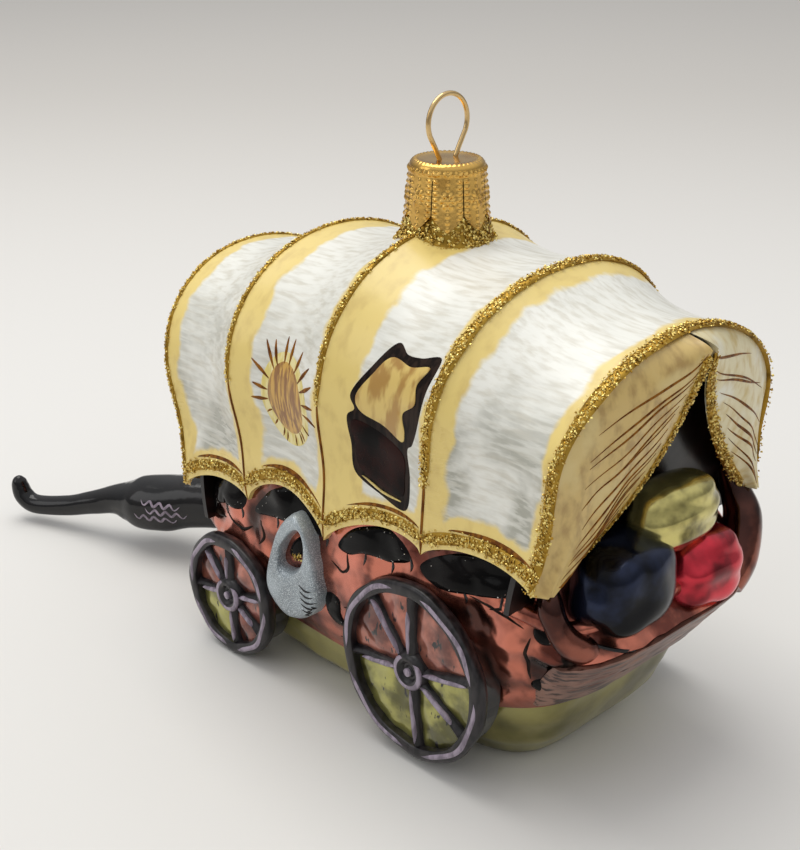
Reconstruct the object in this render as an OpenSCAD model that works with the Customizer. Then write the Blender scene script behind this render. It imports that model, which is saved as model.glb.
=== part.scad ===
// Covered wagon tree ornament: a hollow blown glass figure with a pressed metal cap and a wire hanging loop.
// +X points to the wagon's rear, +Y to its right-hand side, +Z up. The origin is on the table, below the neck.

/* [Glass] */
// Thickness of the glass wall
wall = 1.2; // [0.8:0.1:1.6]
// Depth of the sag of the canvas between two bows
bay_sag = 2; // [0.5:0.1:3]
// Height of the tallest scallop in the canvas hem
hem_rise = 5.7; // [3:0.1:7]

/* [Wheels] */
// Radius of a rear wheel
rear_wheel_r = 16; // [15:0.1:17]
// Radius of a front wheel
front_wheel_r = 12; // [11:0.1:13]
// Distance from the middle plane to the outer face of a wheel
wheel_face_y = 28.2; // [27.6:0.1:29]
// Number of spokes in a wheel
spoke_count = 6; // [5:1:8]

/* [Cap and hanger] */
// Height of the cap's flat top above the table
cap_top_z = 92.8; // [91:0.1:95]
// Radius of the cap at the tips of its prongs
cap_tip_r = 7.2; // [7:0.05:7.6]
// Number of prongs on the cap
prong_count = 8; // [6:1:10]
// Thickness of the cap's sheet metal
cap_sheet = 0.35; // [0.25:0.05:0.5]
// Diameter of the hanger wire
wire_d = 0.8; // [0.6:0.05:1]
// Radius of the hanger loop along the middle of the wire
loop_r = 4.45; // [4:0.05:5]

/* [Hidden] */

// Columns: x at the foot, lean of the crown along x, half width at the shoulder and at the foot, depth of the waist
// between them, height of the foot and of the crown, and squareness (power of the arch's sine and cosine).
BOWS = [
    [-42, -9.5, 24.8, 25.6, 0.6, 28.7, 69.5, 0.97],
    [-23, -4, 27.4, 25.8, 1, 32.2, 76.8, 0.97],
    [-1.2, 1, 28.4, 27.2, 1.1, 32.8, 82, 0.93],
    [21.2, 4.4, 28, 26.8, 0.3, 38.5, 80.6, 0.97],
    [44.8, 3.5, 26.4, 28.2, 0.3, 41, 75.6, 1.08]];
SCALLOPS = [0.5, 1, 0.67, 0.53]; // height of each bay's scallop as a share of the tallest
BAYS = len(BOWS) - 1;
BAY_STEPS = 6;
ARCH_STEPS = 15;
SPRING_SHARE = 0.38; // share of half the arch, foot to crown, that is the upright side
FOOT_SAG = 0.3; // share of the sag that is left at the foot

// Columns: share of the bed's height, length to the front, length to the rear, half width.
BED_LEVELS = [
    [0, 40, 43, 22],
    [0.2, 44, 47.5, 24.5],
    [0.42, 46, 52, 26],
    [0.62, 44.5, 48, 26],
    [0.8, 42.2, 44.3, 24],
    [1, 41, 43.3, 22.2]];
BASE_LEVELS = [
    [0, 30, 33, 17],
    [0.35, 35.5, 38.5, 20.5],
    [1, 40, 43, 22]];
TAILGATE_GAP = 0.4; // between the tailgate and the bed's rear wall
BASE_GAP = 0.25; // between the base and the bed on it
RING_STEPS = 64;
CORNER = 0.38; // power of the plan's sine and cosine: small values square its corners
BED_UNDER_HEM = 9; // how far the bed's wall stands up inside the canvas, above a bow's foot
END_DIP = 8; // power that lets the wall down towards the two ends of the bed

// x, z and radius of a rear and a front wheel. Only the front pair touches the table.
HUBS = [[19.6, rear_wheel_r + 1.1, rear_wheel_r], [-27.6, front_wheel_r, front_wheel_r]];
WEB_INNER_Y = 21;
RIM_W = 2.6;
HUB_R = 3.2;
SPOKE_W = 2.2;
WEB_FACE_Y = wheel_face_y - 2;

NECK_R = 5.4;
NECK_TOP_Z = cap_top_z - 1;
CROWN_Z = BOWS[2][6];
FLARE_Z = cap_top_z - 11.5;
LOOP_Z = cap_top_z + 5.8;
HOLE_Y = 2;
LEG_FOOT = [3.6, cap_top_z - 15]; // y and z of a leg's lower end
WIRE_SIDES = 12;
CURTAIN_GAP = 0.6; // between the curtains and the inner face of the canvas
CURTAIN_PEAK = 5; // how far the gathers stand out beyond the last bow at their top

// Columns: x, y, z of the tongue's middle line and its radius there.
TONGUE = [
    [-44.6, 0, 15, 6],
    [-55, -4.5, 13.4, 5.6],
    [-64, -8.4, 12, 5.6],
    [-70.6, -11.3, 10.1, 6],
    [-75, -13.2, 9.4, 5.8],
    [-78.2, -14.6, 9.1, 4.4],
    [-81.6, -16.1, 8.7, 3.2],
    [-86.7, -18.4, 7, 2.5],
    [-92.7, -21, 5.1, 2.2],
    [-98.1, -23.4, 4.1, 2.1],
    [-101.6, -24.9, 4, 2.1],
    [-103.6, -25.7, 5.4, 2.1],
    [-104.3, -26, 7.4, 1.9],
    [-104.4, -26.1, 8.9, 1.5],
    [-104.4, -26.1, 9.8, 0.7]];
TONGUE_SIDES = 16;

function mix(a, b, t) = a + (b - a) * t;
function power(v, p) = sign(v) * pow(abs(v), p);
function row_at(table, u) = let (i = min(floor(u), len(table) - 2)) mix(table[i], table[i + 1], u - i);

// The canvas: u runs from bow to bow and s from -1 at the left foot, over 0 at the crown, to 1 at the right foot.
function sag_at(u) = sin(180 * (u - floor(u)));
function arch(u, s, inset = 0) = let (
        row = row_at(BOWS, u),
        scallop = SCALLOPS[min(floor(u), BAYS - 1)],
        sag = sag_at(u),
        half = row[2] - sag * bay_sag - inset,
        foot_half = row[3] - sag * bay_sag * FOOT_SAG - inset,
        foot = row[5] + hem_rise * scallop * pow(max(sag, 0), 0.6),
        crown = row[6] - sag * bay_sag - inset,
        spring = mix(row[5], row[6], 0.5),
        h = 1 - abs(s),
        down = 1 - min(h / SPRING_SHARE, 1),
        a = 90 * (h - SPRING_SHARE) / (1 - SPRING_SHARE),
        y = down > 0
            ? half + (foot_half - half) * down * down - row[4] * pow(sin(180 * down), 2)
            : half * pow(max(cos(a), 0), row[7]),
        z = down > 0 ? mix(spring, foot, down) : spring + (crown - spring) * pow(sin(a), row[7]))
    [row[0] + row[1] * (z - row[5]) / (row[6] - row[5]), sign(s) * y, z];

// The bed and the base: phi runs round the plan from the rear, and t up a table of levels.
function plan(row, phi, inset) = [
    power(cos(phi), CORNER) * ((cos(phi) > 0 ? row[2] : row[1]) - inset),
    power(sin(phi), CORNER) * (row[3] - inset)];
function bed_floor(x) = 9.5 + (x > 0 ? 7.5 : 3) * pow(x / 45, 2);
function foot_line(x) = let (
        i = x < BOWS[1][0] ? 0 : x < BOWS[2][0] ? 1 : x < BOWS[3][0] ? 2 : 3,
        f = (x - BOWS[i][0]) / (BOWS[i + 1][0] - BOWS[i][0]))
    mix(BOWS[i][5], BOWS[i + 1][5], f);
function bed_top(x) = foot_line(x) + BED_UNDER_HEM * (1 - pow(min(abs(x) / 45, 1), END_DIP));
function bed_point(phi, t, inset = 0) = let (
        row = row_at(BED_LEVELS, t * (len(BED_LEVELS) - 1)),
        p = plan(row, phi, inset))
    [p[0], p[1], mix(bed_floor(p[0]), bed_top(p[0]), row[0])];
function base_point(phi, row, inset) = let (p = plan(row, phi, inset), q = plan(BASE_LEVELS[2], phi, 0))
    [p[0], p[1], max(inset, row[0] * (bed_floor(q[0]) - BASE_GAP))];

// A closed solid between two grids of points with the same rows and columns. Grid a lies on the side from which
// its rows run clockwise round to its columns.
module thick_sheet(a, b) {
    n = len(a);
    m = len(a[0]);
    function at(i, j, back) = back * n * m + i * m + j;
    function quad(p, q, r, s) = [[p, q, r], [p, r, s]];
    faces = concat(
        [for (i = [0:n - 2], j = [0:m - 2])
            each quad(at(i, j, 0), at(i, j + 1, 0), at(i + 1, j + 1, 0), at(i + 1, j, 0))],
        [for (i = [0:n - 2], j = [0:m - 2])
            each quad(at(i, j, 1), at(i + 1, j, 1), at(i + 1, j + 1, 1), at(i, j + 1, 1))],
        [for (i = [0:n - 2]) each quad(at(i, 0, 0), at(i + 1, 0, 0), at(i + 1, 0, 1), at(i, 0, 1))],
        [for (i = [0:n - 2]) each quad(at(i, m - 1, 0), at(i, m - 1, 1), at(i + 1, m - 1, 1), at(i + 1, m - 1, 0))],
        [for (j = [0:m - 2]) each quad(at(0, j, 0), at(0, j, 1), at(0, j + 1, 1), at(0, j + 1, 0))],
        [for (j = [0:m - 2]) each quad(at(n - 1, j, 0), at(n - 1, j + 1, 0), at(n - 1, j + 1, 1), at(n - 1, j, 1))]);
    polyhedron([each each a, each each b], faces);
}

function mean(points) = let (n = len(points)) [for (axis = [0:2]) [for (p = points) p[axis]] * [for (p = points) 1 / n]];

// A closed solid through a list of closed rings, with a fan of triangles over each end.
module ring_stack(rings) {
    n = len(rings);
    m = len(rings[0]);
    faces = concat(
        [for (i = [0:n - 2], j = [0:m - 1]) let (k = (j + 1) % m)
            each [[i * m + j, (i + 1) * m + k, i * m + k], [i * m + j, (i + 1) * m + j, (i + 1) * m + k]]],
        [for (j = [0:m - 1]) [j, (j + 1) % m, n * m]],
        [for (j = [0:m - 1]) [(n - 1) * m + (j + 1) % m, (n - 1) * m + j, n * m + 1]]);
    polyhedron([each each rings, mean(rings[0]), mean(rings[n - 1])], faces);
}

// A closed tube wall through an outer and an inner list of rings.
module ring_wall(outer, inner) {
    n = len(outer);
    m = len(outer[0]);
    all_rings = concat(outer, [for (i = [n - 1:-1:0]) inner[i]]);
    c = len(all_rings);
    faces = [for (i = [0:c - 1], j = [0:m - 1]) let (k = (j + 1) % m, d = (i + 1) % c)
        each [[i * m + j, d * m + k, i * m + k], [i * m + j, d * m + j, d * m + k]]];
    polyhedron([each each all_rings], faces);
}

module canopy() {
    us = [for (i = [0:BAYS * BAY_STEPS]) i / BAY_STEPS];
    ss = [for (j = [-ARCH_STEPS:ARCH_STEPS]) j / ARCH_STEPS];
    color("ivory") difference() {
        thick_sheet([for (u = us) [for (s = ss) arch(u, s)]], [for (u = us) [for (s = ss) arch(u, s, wall)]]);
        translate([0, 0, CROWN_Z - 8]) cylinder(r = NECK_R - wall, h = 20, $fn = 48);
    }
}

module neck() {
    color("goldenrod") difference() {
        rotate_extrude($fn = 64) polygon([
            [NECK_R - wall, FLARE_Z - 3.2], [NECK_R + 2.6, FLARE_Z - 3.2], [NECK_R + 2.2, FLARE_Z - 0.6],
            [NECK_R + 1, FLARE_Z + 1.6], [NECK_R, FLARE_Z + 3.4], [NECK_R, NECK_TOP_Z], [NECK_R - wall, NECK_TOP_Z]]);
        canopy_core();
    }
}

// The canvas about the neck with the room under it, taken away from what stands on its crown.
module canopy_core() {
    function layer(depth) = [for (i = [9:15]) [for (j = [-9:9]) arch(i / BAY_STEPS, j / ARCH_STEPS, depth)]];
    thick_sheet(layer(0), layer(10));
}

PHIS = [for (k = [0:RING_STEPS - 1]) 360 * k / RING_STEPS];
function bed_rings(inset) = let (n = len(BED_LEVELS) - 1)
    [for (i = [0:n]) [for (phi = PHIS) bed_point(phi, i / n, inset)]];
function base_rings(inset) = [for (row = BASE_LEVELS) [for (phi = PHIS) base_point(phi, row, inset)]];

module wagon_bed() color("indianred") ring_wall(bed_rings(0), bed_rings(wall));

module grass_base() {
    inside = base_rings(wall);
    color("yellowgreen") ring_stack(concat(base_rings(0), [for (i = [2:-1:0]) inside[i]]));
}

// What is left of a moulded detail once the bed and the base have taken their room.
module on_the_hull() difference() {
    children();
    ring_stack(concat(base_rings(0), bed_rings(0)));
}

// The board that lies on the rear wall of the bed.
module tailgate_board() {
    function place(k, i, off) = bed_point(360 * k / RING_STEPS, mix(0.03, 0.38, i / 4)) + [off, 0, 0];
    function layer(off) = [for (i = [0:4]) [for (k = [-7:7]) place(k, i, off)]];
    thick_sheet(layer(TAILGATE_GAP), layer(TAILGATE_GAP + wall));
}

module tailgate() color("rosybrown") tailgate_board();

// Half of the gathered canvas that closes one end: end is 0 at the front and BAYS at the rear, side is -1 or 1.
module curtain(end, side) {
    ahead = end == 0 ? -1 : 1;
    row = BOWS[end];
    function rim(h) = arch(end, side * (1 - h), wall + CURTAIN_GAP);
    function hem(h) = let (z = mix(row[5] + 0.5, row[6] - 4.5, h))
        [row[0] + row[1] * (z - row[5]) / (row[6] - row[5]) + ahead * CURTAIN_PEAK * pow(h, 1.7),
            side * (0.8 + (row[3] - wall - 4) * pow(1 - h, side < 0 ? 3.4 : 1.45)), z];
    function place(h, r, off) = let (p = mix(rim(h), hem(h), r))
        [p[0] + ahead * (2.2 * sin(180 * r) * (1 - 0.5 * h) - off), p[1], p[2]];
    function layer(off) = [for (i = [0:12]) [for (k = [0:6]) place(i / 12, k / 6, off)]];
    if (side == ahead) thick_sheet(layer(0), layer(wall));
    else thick_sheet(layer(wall), layer(0));
}

module rear_curtain_left() color("khaki") curtain(BAYS, -1);
module rear_curtain_right() color("khaki") curtain(BAYS, 1);
module front_curtain_left() color("khaki") curtain(0, -1);
module front_curtain_right() color("khaki") curtain(0, 1);

// The dark wall that shows between the curtains.
module lining(end) {
    ahead = end == 0 ? -1 : 1;
    row = BOWS[end];
    function place(h, y, off) = let (z = mix(row[5] + 0.5, row[6] - 8, h))
        [row[0] + row[1] * (z - row[5]) / (row[6] - row[5]) - ahead * (4.2 + off), y * mix(14, 4, h), z];
    function layer(off) = [for (h = [0:0.25:1]) [for (y = [-1:0.5:1]) place(h, y, off)]];
    if (ahead < 0) thick_sheet(layer(0), layer(wall));
    else thick_sheet(layer(wall), layer(0));
}

module rear_lining() color("black") lining(BAYS);
module front_lining() color("black") lining(0);

module bundle(x, y, z, rx, ry, rz) translate([x, y, z]) scale([rx, ry, rz]) sphere(r = 1, $fn = 32);

module green_shape() bundle(48.5, 3, 45.4, 5, 9.4, 6);
module blue_shape() bundle(48.5, -10, 37.6, 7, 9, 8);
module red_shape() bundle(49, 10, 33, 6.5, 8.2, 6.6);

module green_roll() color("darkkhaki") green_shape();

module blue_sack() color("darkslateblue") on_the_hull() difference() {
    blue_shape();
    green_shape();
    tailgate_board();
}

module red_roll() color("firebrick") on_the_hull() difference() {
    red_shape();
    green_shape();
    blue_shape();
    tailgate_board();
}

// A moulded wheel: a web, a rim, spokes and a hub, on the side that side names, -1 or 1.
module wheel(hub, side) {
    x = hub[0];
    r = hub[2];
    color("dimgray") on_the_hull() translate([x, 0, hub[1]]) rotate([-90 * side, 0, 0]) union() {
        translate([0, 0, WEB_INNER_Y]) cylinder(r = r - RIM_W / 2, h = WEB_FACE_Y - WEB_INNER_Y, $fn = 72);
        rotate_extrude($fn = 96) polygon([
            [r - RIM_W, WEB_FACE_Y - 1], [r - RIM_W, wheel_face_y - 0.7], [r - RIM_W + 0.7, wheel_face_y],
            [r - 0.9, wheel_face_y], [r, wheel_face_y - 0.9], [r, WEB_FACE_Y - 3], [r - 1, WEB_FACE_Y - 3.6],
            [r - RIM_W, WEB_FACE_Y - 3.6]]);
        for (k = [0:spoke_count - 1]) rotate([0, 0, 90 + 360 * k / spoke_count])
            translate([HUB_R - 1, -SPOKE_W / 2, WEB_FACE_Y - 0.5]) cube([r - RIM_W - HUB_R + 1.5, SPOKE_W, 2]);
        translate([0, 0, WEB_FACE_Y - 0.5]) cylinder(r1 = HUB_R + 0.4, r2 = HUB_R - 0.4, h = 3, $fn = 48);
    }
}

module wheel_rear_left() wheel(HUBS[0], -1);
module wheel_rear_right() wheel(HUBS[0], 1);
module wheel_front_left() wheel(HUBS[1], -1);
module wheel_front_right() wheel(HUBS[1], 1);

// The stone jug that hangs on a side of the bed, with its slanting handle hole.
module jug(side) {
    outline = [[-6.9, -1.8], [-4.6, -5.6], [-0.3, -7.3], [4.2, -4.4], [6.6, -0.3], [6, 4.5], [5.1, 8.7], [3.4, 12.3],
        [0.7, 13.6], [-2.6, 10.4], [-4.8, 6]];
    color("lightsteelblue") on_the_hull() mirror([0, side > 0 ? 1 : 0, 0]) translate([-9.4, -24, 21.5])
        rotate([90, 0, 0]) linear_extrude(height = 4.4) difference() {
            offset(r = 1.2, $fn = 24) offset(delta = -1.2) polygon(outline);
            translate([1.2, 6.5]) rotate(-30) scale([0.4, 1]) circle(r = 4.2, $fn = 24);
        }
}

module jug_left() jug(-1);
module jug_right() jug(1);

// A round bar through a list of points, with a radius at each, and hint anywhere off its line.
module swept(points, radii, hint, sides) {
    n = len(points);
    function along(i) = let (d = points[min(i + 1, n - 1)] - points[max(i - 1, 0)]) d / norm(d);
    function ring(i) = let (
            d = along(i),
            across = cross(d, hint) / norm(cross(d, hint)),
            over = cross(across, d))
        [for (k = [0:sides - 1]) let (a = 360 * k / sides) points[i] + radii[i] * (cos(a) * across - sin(a) * over)];
    ring_stack([for (i = [0:n - 1]) ring(i)]);
}

// The drooping tongue, drawn out of the front of the bed.
module tongue() color("black") on_the_hull()
    swept([for (row = TONGUE) [row[0], row[1], row[2]]], [for (row = TONGUE) row[3]], [0, 1, 0.0001], TONGUE_SIDES);

module cap() {
    foot_z = cap_top_z - 10.6;
    top_r = cap_tip_r - 1;
    color("gold") difference() {
        rotate_extrude($fn = 96) polygon([
            [0, cap_top_z], [top_r - 0.8, cap_top_z], [top_r, cap_top_z - 0.9], [cap_tip_r, foot_z],
            [cap_tip_r - cap_sheet, foot_z], [top_r - cap_sheet, cap_top_z - 0.9 - cap_sheet / 2],
            [top_r - 0.8, cap_top_z - cap_sheet], [0, cap_top_z - cap_sheet]]);
        for (k = [0:prong_count - 1]) rotate([0, 0, 360 * (k + 0.5) / prong_count]) {
            translate([4, -0.15, foot_z - 1]) cube([6, 0.3, 9]);
            translate([4, 0, foot_z]) rotate([90, 0, 90]) linear_extrude(height = 6)
                polygon([[-2.8, -0.5], [2.8, -0.5], [2.3, 0.6], [0, 3], [-2.3, 0.6]]);
        }
        for (side = [-1, 1]) translate([0, side * HOLE_Y, cap_top_z - 3]) cylinder(r = wire_d / 2 + 0.2, h = 6, $fn = 24);
    }
}

// The loop stands across the wagon: its legs run through the cap's two holes and spread in the neck.
module hanger_wire() {
    drop = LOOP_Z - cap_top_z;
    reach = norm([HOLE_Y, drop]);
    tangent = acos(loop_r / reach) + atan2(HOLE_Y, drop);
    leg = [[0, LEG_FOOT[0], LEG_FOOT[1]], [0, HOLE_Y, cap_top_z - 1.5], [0, HOLE_Y, cap_top_z + 0.4]];
    steps = 28;
    bend = [for (i = [0:steps]) let (a = mix(tangent, 360 - tangent, i / steps))
        [0, loop_r * sin(a), LOOP_Z - loop_r * cos(a)]];
    points = concat(leg, bend, [for (i = [2:-1:0]) [0, -leg[i][1], leg[i][2]]]);
    color("darkgoldenrod") swept(points, [for (p = points) wire_d / 2], [1, 0, 0], WIRE_SIDES);
}

canopy();
neck();
wagon_bed();
grass_base();
tailgate();
rear_curtain_left();
rear_curtain_right();
front_curtain_left();
front_curtain_right();
rear_lining();
front_lining();
green_roll();
blue_sack();
red_roll();
wheel_rear_left();
wheel_rear_right();
wheel_front_left();
wheel_front_right();
jug_left();
jug_right();
tongue();
cap();
hanger_wire();
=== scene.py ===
# Blown glass covered wagon ornament: silvered, lacquered and painted by hand, with a pressed cap and a wire loop.
import math
import bmesh
import bpy
import numpy as np
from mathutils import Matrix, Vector, noise
from mathutils.bvhtree import BVHTree


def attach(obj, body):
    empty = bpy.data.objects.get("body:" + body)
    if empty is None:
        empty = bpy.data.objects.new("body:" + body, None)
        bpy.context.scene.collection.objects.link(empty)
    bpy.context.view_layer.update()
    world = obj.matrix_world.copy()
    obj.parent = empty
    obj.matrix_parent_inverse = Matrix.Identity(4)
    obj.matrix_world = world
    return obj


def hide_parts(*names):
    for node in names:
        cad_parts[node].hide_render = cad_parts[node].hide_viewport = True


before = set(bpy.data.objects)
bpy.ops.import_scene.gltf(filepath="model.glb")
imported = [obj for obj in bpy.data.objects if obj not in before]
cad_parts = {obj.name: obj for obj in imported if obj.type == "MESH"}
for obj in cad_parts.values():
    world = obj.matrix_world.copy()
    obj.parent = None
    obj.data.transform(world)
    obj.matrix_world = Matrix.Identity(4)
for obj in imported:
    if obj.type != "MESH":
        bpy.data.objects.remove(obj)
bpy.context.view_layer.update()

# Every length below is in millimetres until a mesh is made. +X is the wagon's rear, -Y its left side, +Z up.
mm = 0.001
draw = np.random.RandomState(7)


# Colours and shader helpers.

def srgb(r, g, b):
    def channel(c):
        c /= 255
        return c / 12.92 if c <= 0.04045 else ((c + 0.055) / 1.055) ** 2.4
    return (channel(r), channel(g), channel(b), 1)


def feed(tree, value, socket):
    if isinstance(value, bpy.types.NodeSocket):
        tree.links.new(value, socket)
    else:
        socket.default_value = value


def blendColour(tree, share, a, b):
    node = tree.nodes.new("ShaderNodeMix")
    node.data_type = "RGBA"
    for value, socket in ((share, node.inputs[0]), (a, node.inputs[6]), (b, node.inputs[7])):
        feed(tree, value, socket)
    return node.outputs[2]


def maths(tree, operation, a, b=0.0):
    node = tree.nodes.new("ShaderNodeMath")
    node.operation = operation
    feed(tree, a, node.inputs[0])
    feed(tree, b, node.inputs[1])
    return node.outputs[0]


def ramp(tree, value, low, high, lowest=0.0, highest=1.0):
    node = tree.nodes.new("ShaderNodeMapRange")
    node.interpolation_type = "SMOOTHSTEP"
    for item, socket in zip((value, low, high, lowest, highest), node.inputs[:5]):
        feed(tree, item, socket)
    return node.outputs[0]


def attribute(tree, name):
    node = tree.nodes.new("ShaderNodeAttribute")
    node.attribute_name = name
    return node.outputs["Fac"]


def place(tree):
    return tree.nodes.new("ShaderNodeTexCoord").outputs["Object"]


def newGroup(name, output, kind, **inputs):
    tree = bpy.data.node_groups.new(name, "ShaderNodeTree")
    tree.interface.new_socket("Vector", in_out="INPUT", socket_type="NodeSocketVector")
    for label, value in inputs.items():
        socket = tree.interface.new_socket(label.replace("_", " "), in_out="INPUT", socket_type="NodeSocketFloat")
        socket.default_value = value
    tree.interface.new_socket(output, in_out="OUTPUT", socket_type=kind)
    return tree, tree.nodes.new("NodeGroupInput"), tree.nodes.new("NodeGroupOutput")


def clouds(tree, vector, scale, detail):
    node = tree.nodes.new("ShaderNodeTexNoise")
    for label, value in (("Vector", vector), ("Scale", scale), ("Detail", detail)):
        feed(tree, value, node.inputs[label])
    return node.outputs[0]


def brushMarks():  # streaks left by a brush: the three scales stretch the noise along the stroke
    tree, given, made = newGroup("brushMarks", "Mask", "NodeSocketFloat",
                                 Across_X=1000.0, Across_Y=1000.0, Across_Z=1000.0, Low=0.4, High=0.6)
    scales = tree.nodes.new("ShaderNodeCombineXYZ")
    stretch = tree.nodes.new("ShaderNodeVectorMath")
    stretch.operation = "MULTIPLY"
    for k in range(3):
        tree.links.new(given.outputs[k + 1], scales.inputs[k])
    tree.links.new(given.outputs["Vector"], stretch.inputs[0])
    tree.links.new(scales.outputs[0], stretch.inputs[1])
    streaks = clouds(tree, stretch.outputs[0], 1.0, 3)
    feed(tree, ramp(tree, streaks, given.outputs["Low"], given.outputs["High"]), made.inputs["Mask"])
    return tree


# The copper bed also uses these clouds for a painted highlight.
def paintMottle():  # soft clouds where a lacquer is thicker or thinner
    tree, given, made = newGroup("paintMottle", "Mask", "NodeSocketFloat", Scale=100.0, Low=0.4, High=0.6)
    depth = clouds(tree, given.outputs["Vector"], given.outputs["Scale"], 4)
    feed(tree, ramp(tree, depth, given.outputs["Low"], given.outputs["High"]), made.inputs["Mask"])
    return tree


def glassRipple():  # the slow waves and small pits of blown glass under paint
    tree, given, made = newGroup("glassRipple", "Normal", "NodeSocketVector",
                                 Scale=300.0, Strength=0.1, Distance=0.0003)
    bump = tree.nodes.new("ShaderNodeBump")
    feed(tree, clouds(tree, given.outputs["Vector"], given.outputs["Scale"], 2), bump.inputs["Height"])
    for label in ("Strength", "Distance"):
        tree.links.new(given.outputs[label], bump.inputs[label])
    tree.links.new(bump.outputs[0], made.inputs["Normal"])
    return tree


effects = {"brushMarks": brushMarks(), "paintMottle": paintMottle(), "glassRipple": glassRipple()}


def effect(tree, name, **values):
    node = tree.nodes.new("ShaderNodeGroup")
    node.node_tree = effects[name]
    feed(tree, place(tree), node.inputs["Vector"])
    for label, value in values.items():
        feed(tree, value, node.inputs[label.replace("_", " ")])
    return node.outputs[0]


def mottled(tree, scale, low, high):
    return effect(tree, "paintMottle", Scale=scale, Low=low, High=high)


def brushed(tree, acrossX, acrossY, acrossZ, low=0.4, high=0.6):
    return effect(tree, "brushMarks", Across_X=acrossX, Across_Y=acrossY, Across_Z=acrossZ, Low=low, High=high)


def rippled(tree, shader, scale, strength, distance=0.0003):
    bumps = effect(tree, "glassRipple", Scale=scale, Strength=strength, Distance=distance)
    feed(tree, bumps, shader.inputs["Normal"])


def coloured(tree, shader, share, a, b):
    feed(tree, blendColour(tree, share, a, b), shader.inputs["Base Color"])


def newFinish(name, metallic=0.0, roughness=0.4, coat=0.0, coatRoughness=0.05):
    material = bpy.data.materials.new(name)
    material.use_nodes = True
    tree = material.node_tree
    shader = tree.nodes["Principled BSDF"]
    shader.inputs["Metallic"].default_value = metallic
    shader.inputs["Roughness"].default_value = roughness
    shader.inputs["Coat Weight"].default_value = coat
    shader.inputs["Coat Roughness"].default_value = coatRoughness
    return material, tree, shader


# A silvered lacquer: a tinted mirror under clear gloss, darker where the colour ran thick.
def lacquer(name, thin, thick, scale, low, high, metallic, roughness, coat, ripple):
    material, tree, shader = newFinish(name, metallic, roughness, coat)
    depth = mottled(tree, scale, low, high)
    coloured(tree, shader, depth, thin, thick)
    rippled(tree, shader, 260.0, ripple)
    return material


def plainPaint(name, colour, worn, roughness=0.45, coat=0.2, across=(900.0, 900.0, 250.0), shine=0.5):
    material, tree, shader = newFinish(name, 0.0, roughness, coat, 0.2)
    shader.inputs["Specular IOR Level"].default_value = shine
    streak = brushed(tree, *across)
    coloured(tree, shader, streak, colour, worn)
    return material


canvasPaint = {
    "cream": srgb(234, 208, 124), "creamThin": srgb(220, 192, 112), "white": srgb(238, 237, 228),
    "whiteThin": srgb(216, 212, 198), "silver": srgb(166, 165, 152),
    "edgeSoft": 0.6, "edgeWave": 3.52}  # mm: how soft and how wavy the white's edge is


def canvasFinish():
    p = canvasPaint
    material, tree, shader = newFinish("canvasPaint", 0.0, 0.42, 0.35, 0.18)
    wave = mottled(tree, 130.0, 0.1, 0.9)
    wave = maths(tree, "MULTIPLY", maths(tree, "SUBTRACT", wave, 0.5), p["edgeWave"])
    inside = maths(tree, "ADD", attribute(tree, "patch"), wave)
    dry = brushed(tree, 170.0, 1050.0, 1050.0, 0.4, 0.72)
    body = blendColour(tree, dry, p["white"], p["whiteThin"])
    cloud = mottled(tree, 85.0, 0.34, 0.6)
    bare = maths(tree, "MULTIPLY", cloud, attribute(tree, "bare"))
    streaks = brushed(tree, 130.0, 1500.0, 1200.0, 0.35, 0.6)
    bare = maths(tree, "MULTIPLY", bare, maths(tree, "ADD", maths(tree, "MULTIPLY", streaks, 0.55), 0.45))
    body = blendColour(tree, bare, body, p["silver"])
    thin = brushed(tree, 420.0, 260.0, 260.0, 0.45, 0.75)
    cream = blendColour(tree, thin, p["cream"], p["creamThin"])
    covered = ramp(tree, inside, -p["edgeSoft"], p["edgeSoft"])
    coloured(tree, shader, covered, cream, body)
    feed(tree, ramp(tree, bare, 0.0, 1.0, 0.42, 0.26), shader.inputs["Roughness"])
    rippled(tree, shader, 520.0, 0.12, 0.00025)
    return material


def curtainFinish(name, full, thinned, pale):
    material, tree, shader = newFinish(name, 0.0, 0.42, 0.3, 0.2)
    fan = brushed(tree, 200.0, 520.0, 300.0, 0.4, 0.7)
    colour = blendColour(tree, fan, full, thinned)
    patch = mottled(tree, 120.0, 0.5, 0.68)
    coloured(tree, shader, patch, colour, pale)
    rippled(tree, shader, 500.0, 0.12, 0.00025)
    return material


def glitterFinish(name, dark, bright, roughness=0.28):
    material, tree, shader = newFinish(name, 1.0, roughness)
    coloured(tree, shader, attribute(tree, "tone"), dark, bright)
    return material


def webFinish():  # between the spokes: copper above, yellow-green in the lower gaps, black marks in both
    material, tree, shader = newFinish("wheelWebLacquer", 0.7, 0.3, 1.0)
    depth = mottled(tree, 170.0, 0.42, 0.64)
    copper = blendColour(tree, depth, srgb(186, 112, 92), srgb(96, 48, 38))
    leaf = blendColour(tree, depth, srgb(176, 172, 92), srgb(92, 90, 38))
    both = blendColour(tree, ramp(tree, attribute(tree, "leaf"), 0.3, 0.7), copper, leaf)
    marks = brushed(tree, 700.0, 300.0, 300.0, 0.62, 0.66)
    edge = maths(tree, "MAXIMUM", marks, attribute(tree, "edge"))
    coloured(tree, shader, edge, both, srgb(26, 24, 24))
    rippled(tree, shader, 300.0, 0.3)
    return material


def boardFinish():  # the tailgate's boards: dull mauve-brown with fine dark grain along Y
    material, tree, shader = newFinish("tailgatePaint", 0.35, 0.42, 0.35, 0.2)
    grain = brushed(tree, 500.0, 150.0, 1500.0, 0.5, 0.62)
    shade = mottled(tree, 80.0, 0.4, 0.65)
    body = blendColour(tree, shade, srgb(150, 112, 96), srgb(108, 76, 66))
    coloured(tree, shader, grain, body, srgb(58, 36, 30))
    return material


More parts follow.
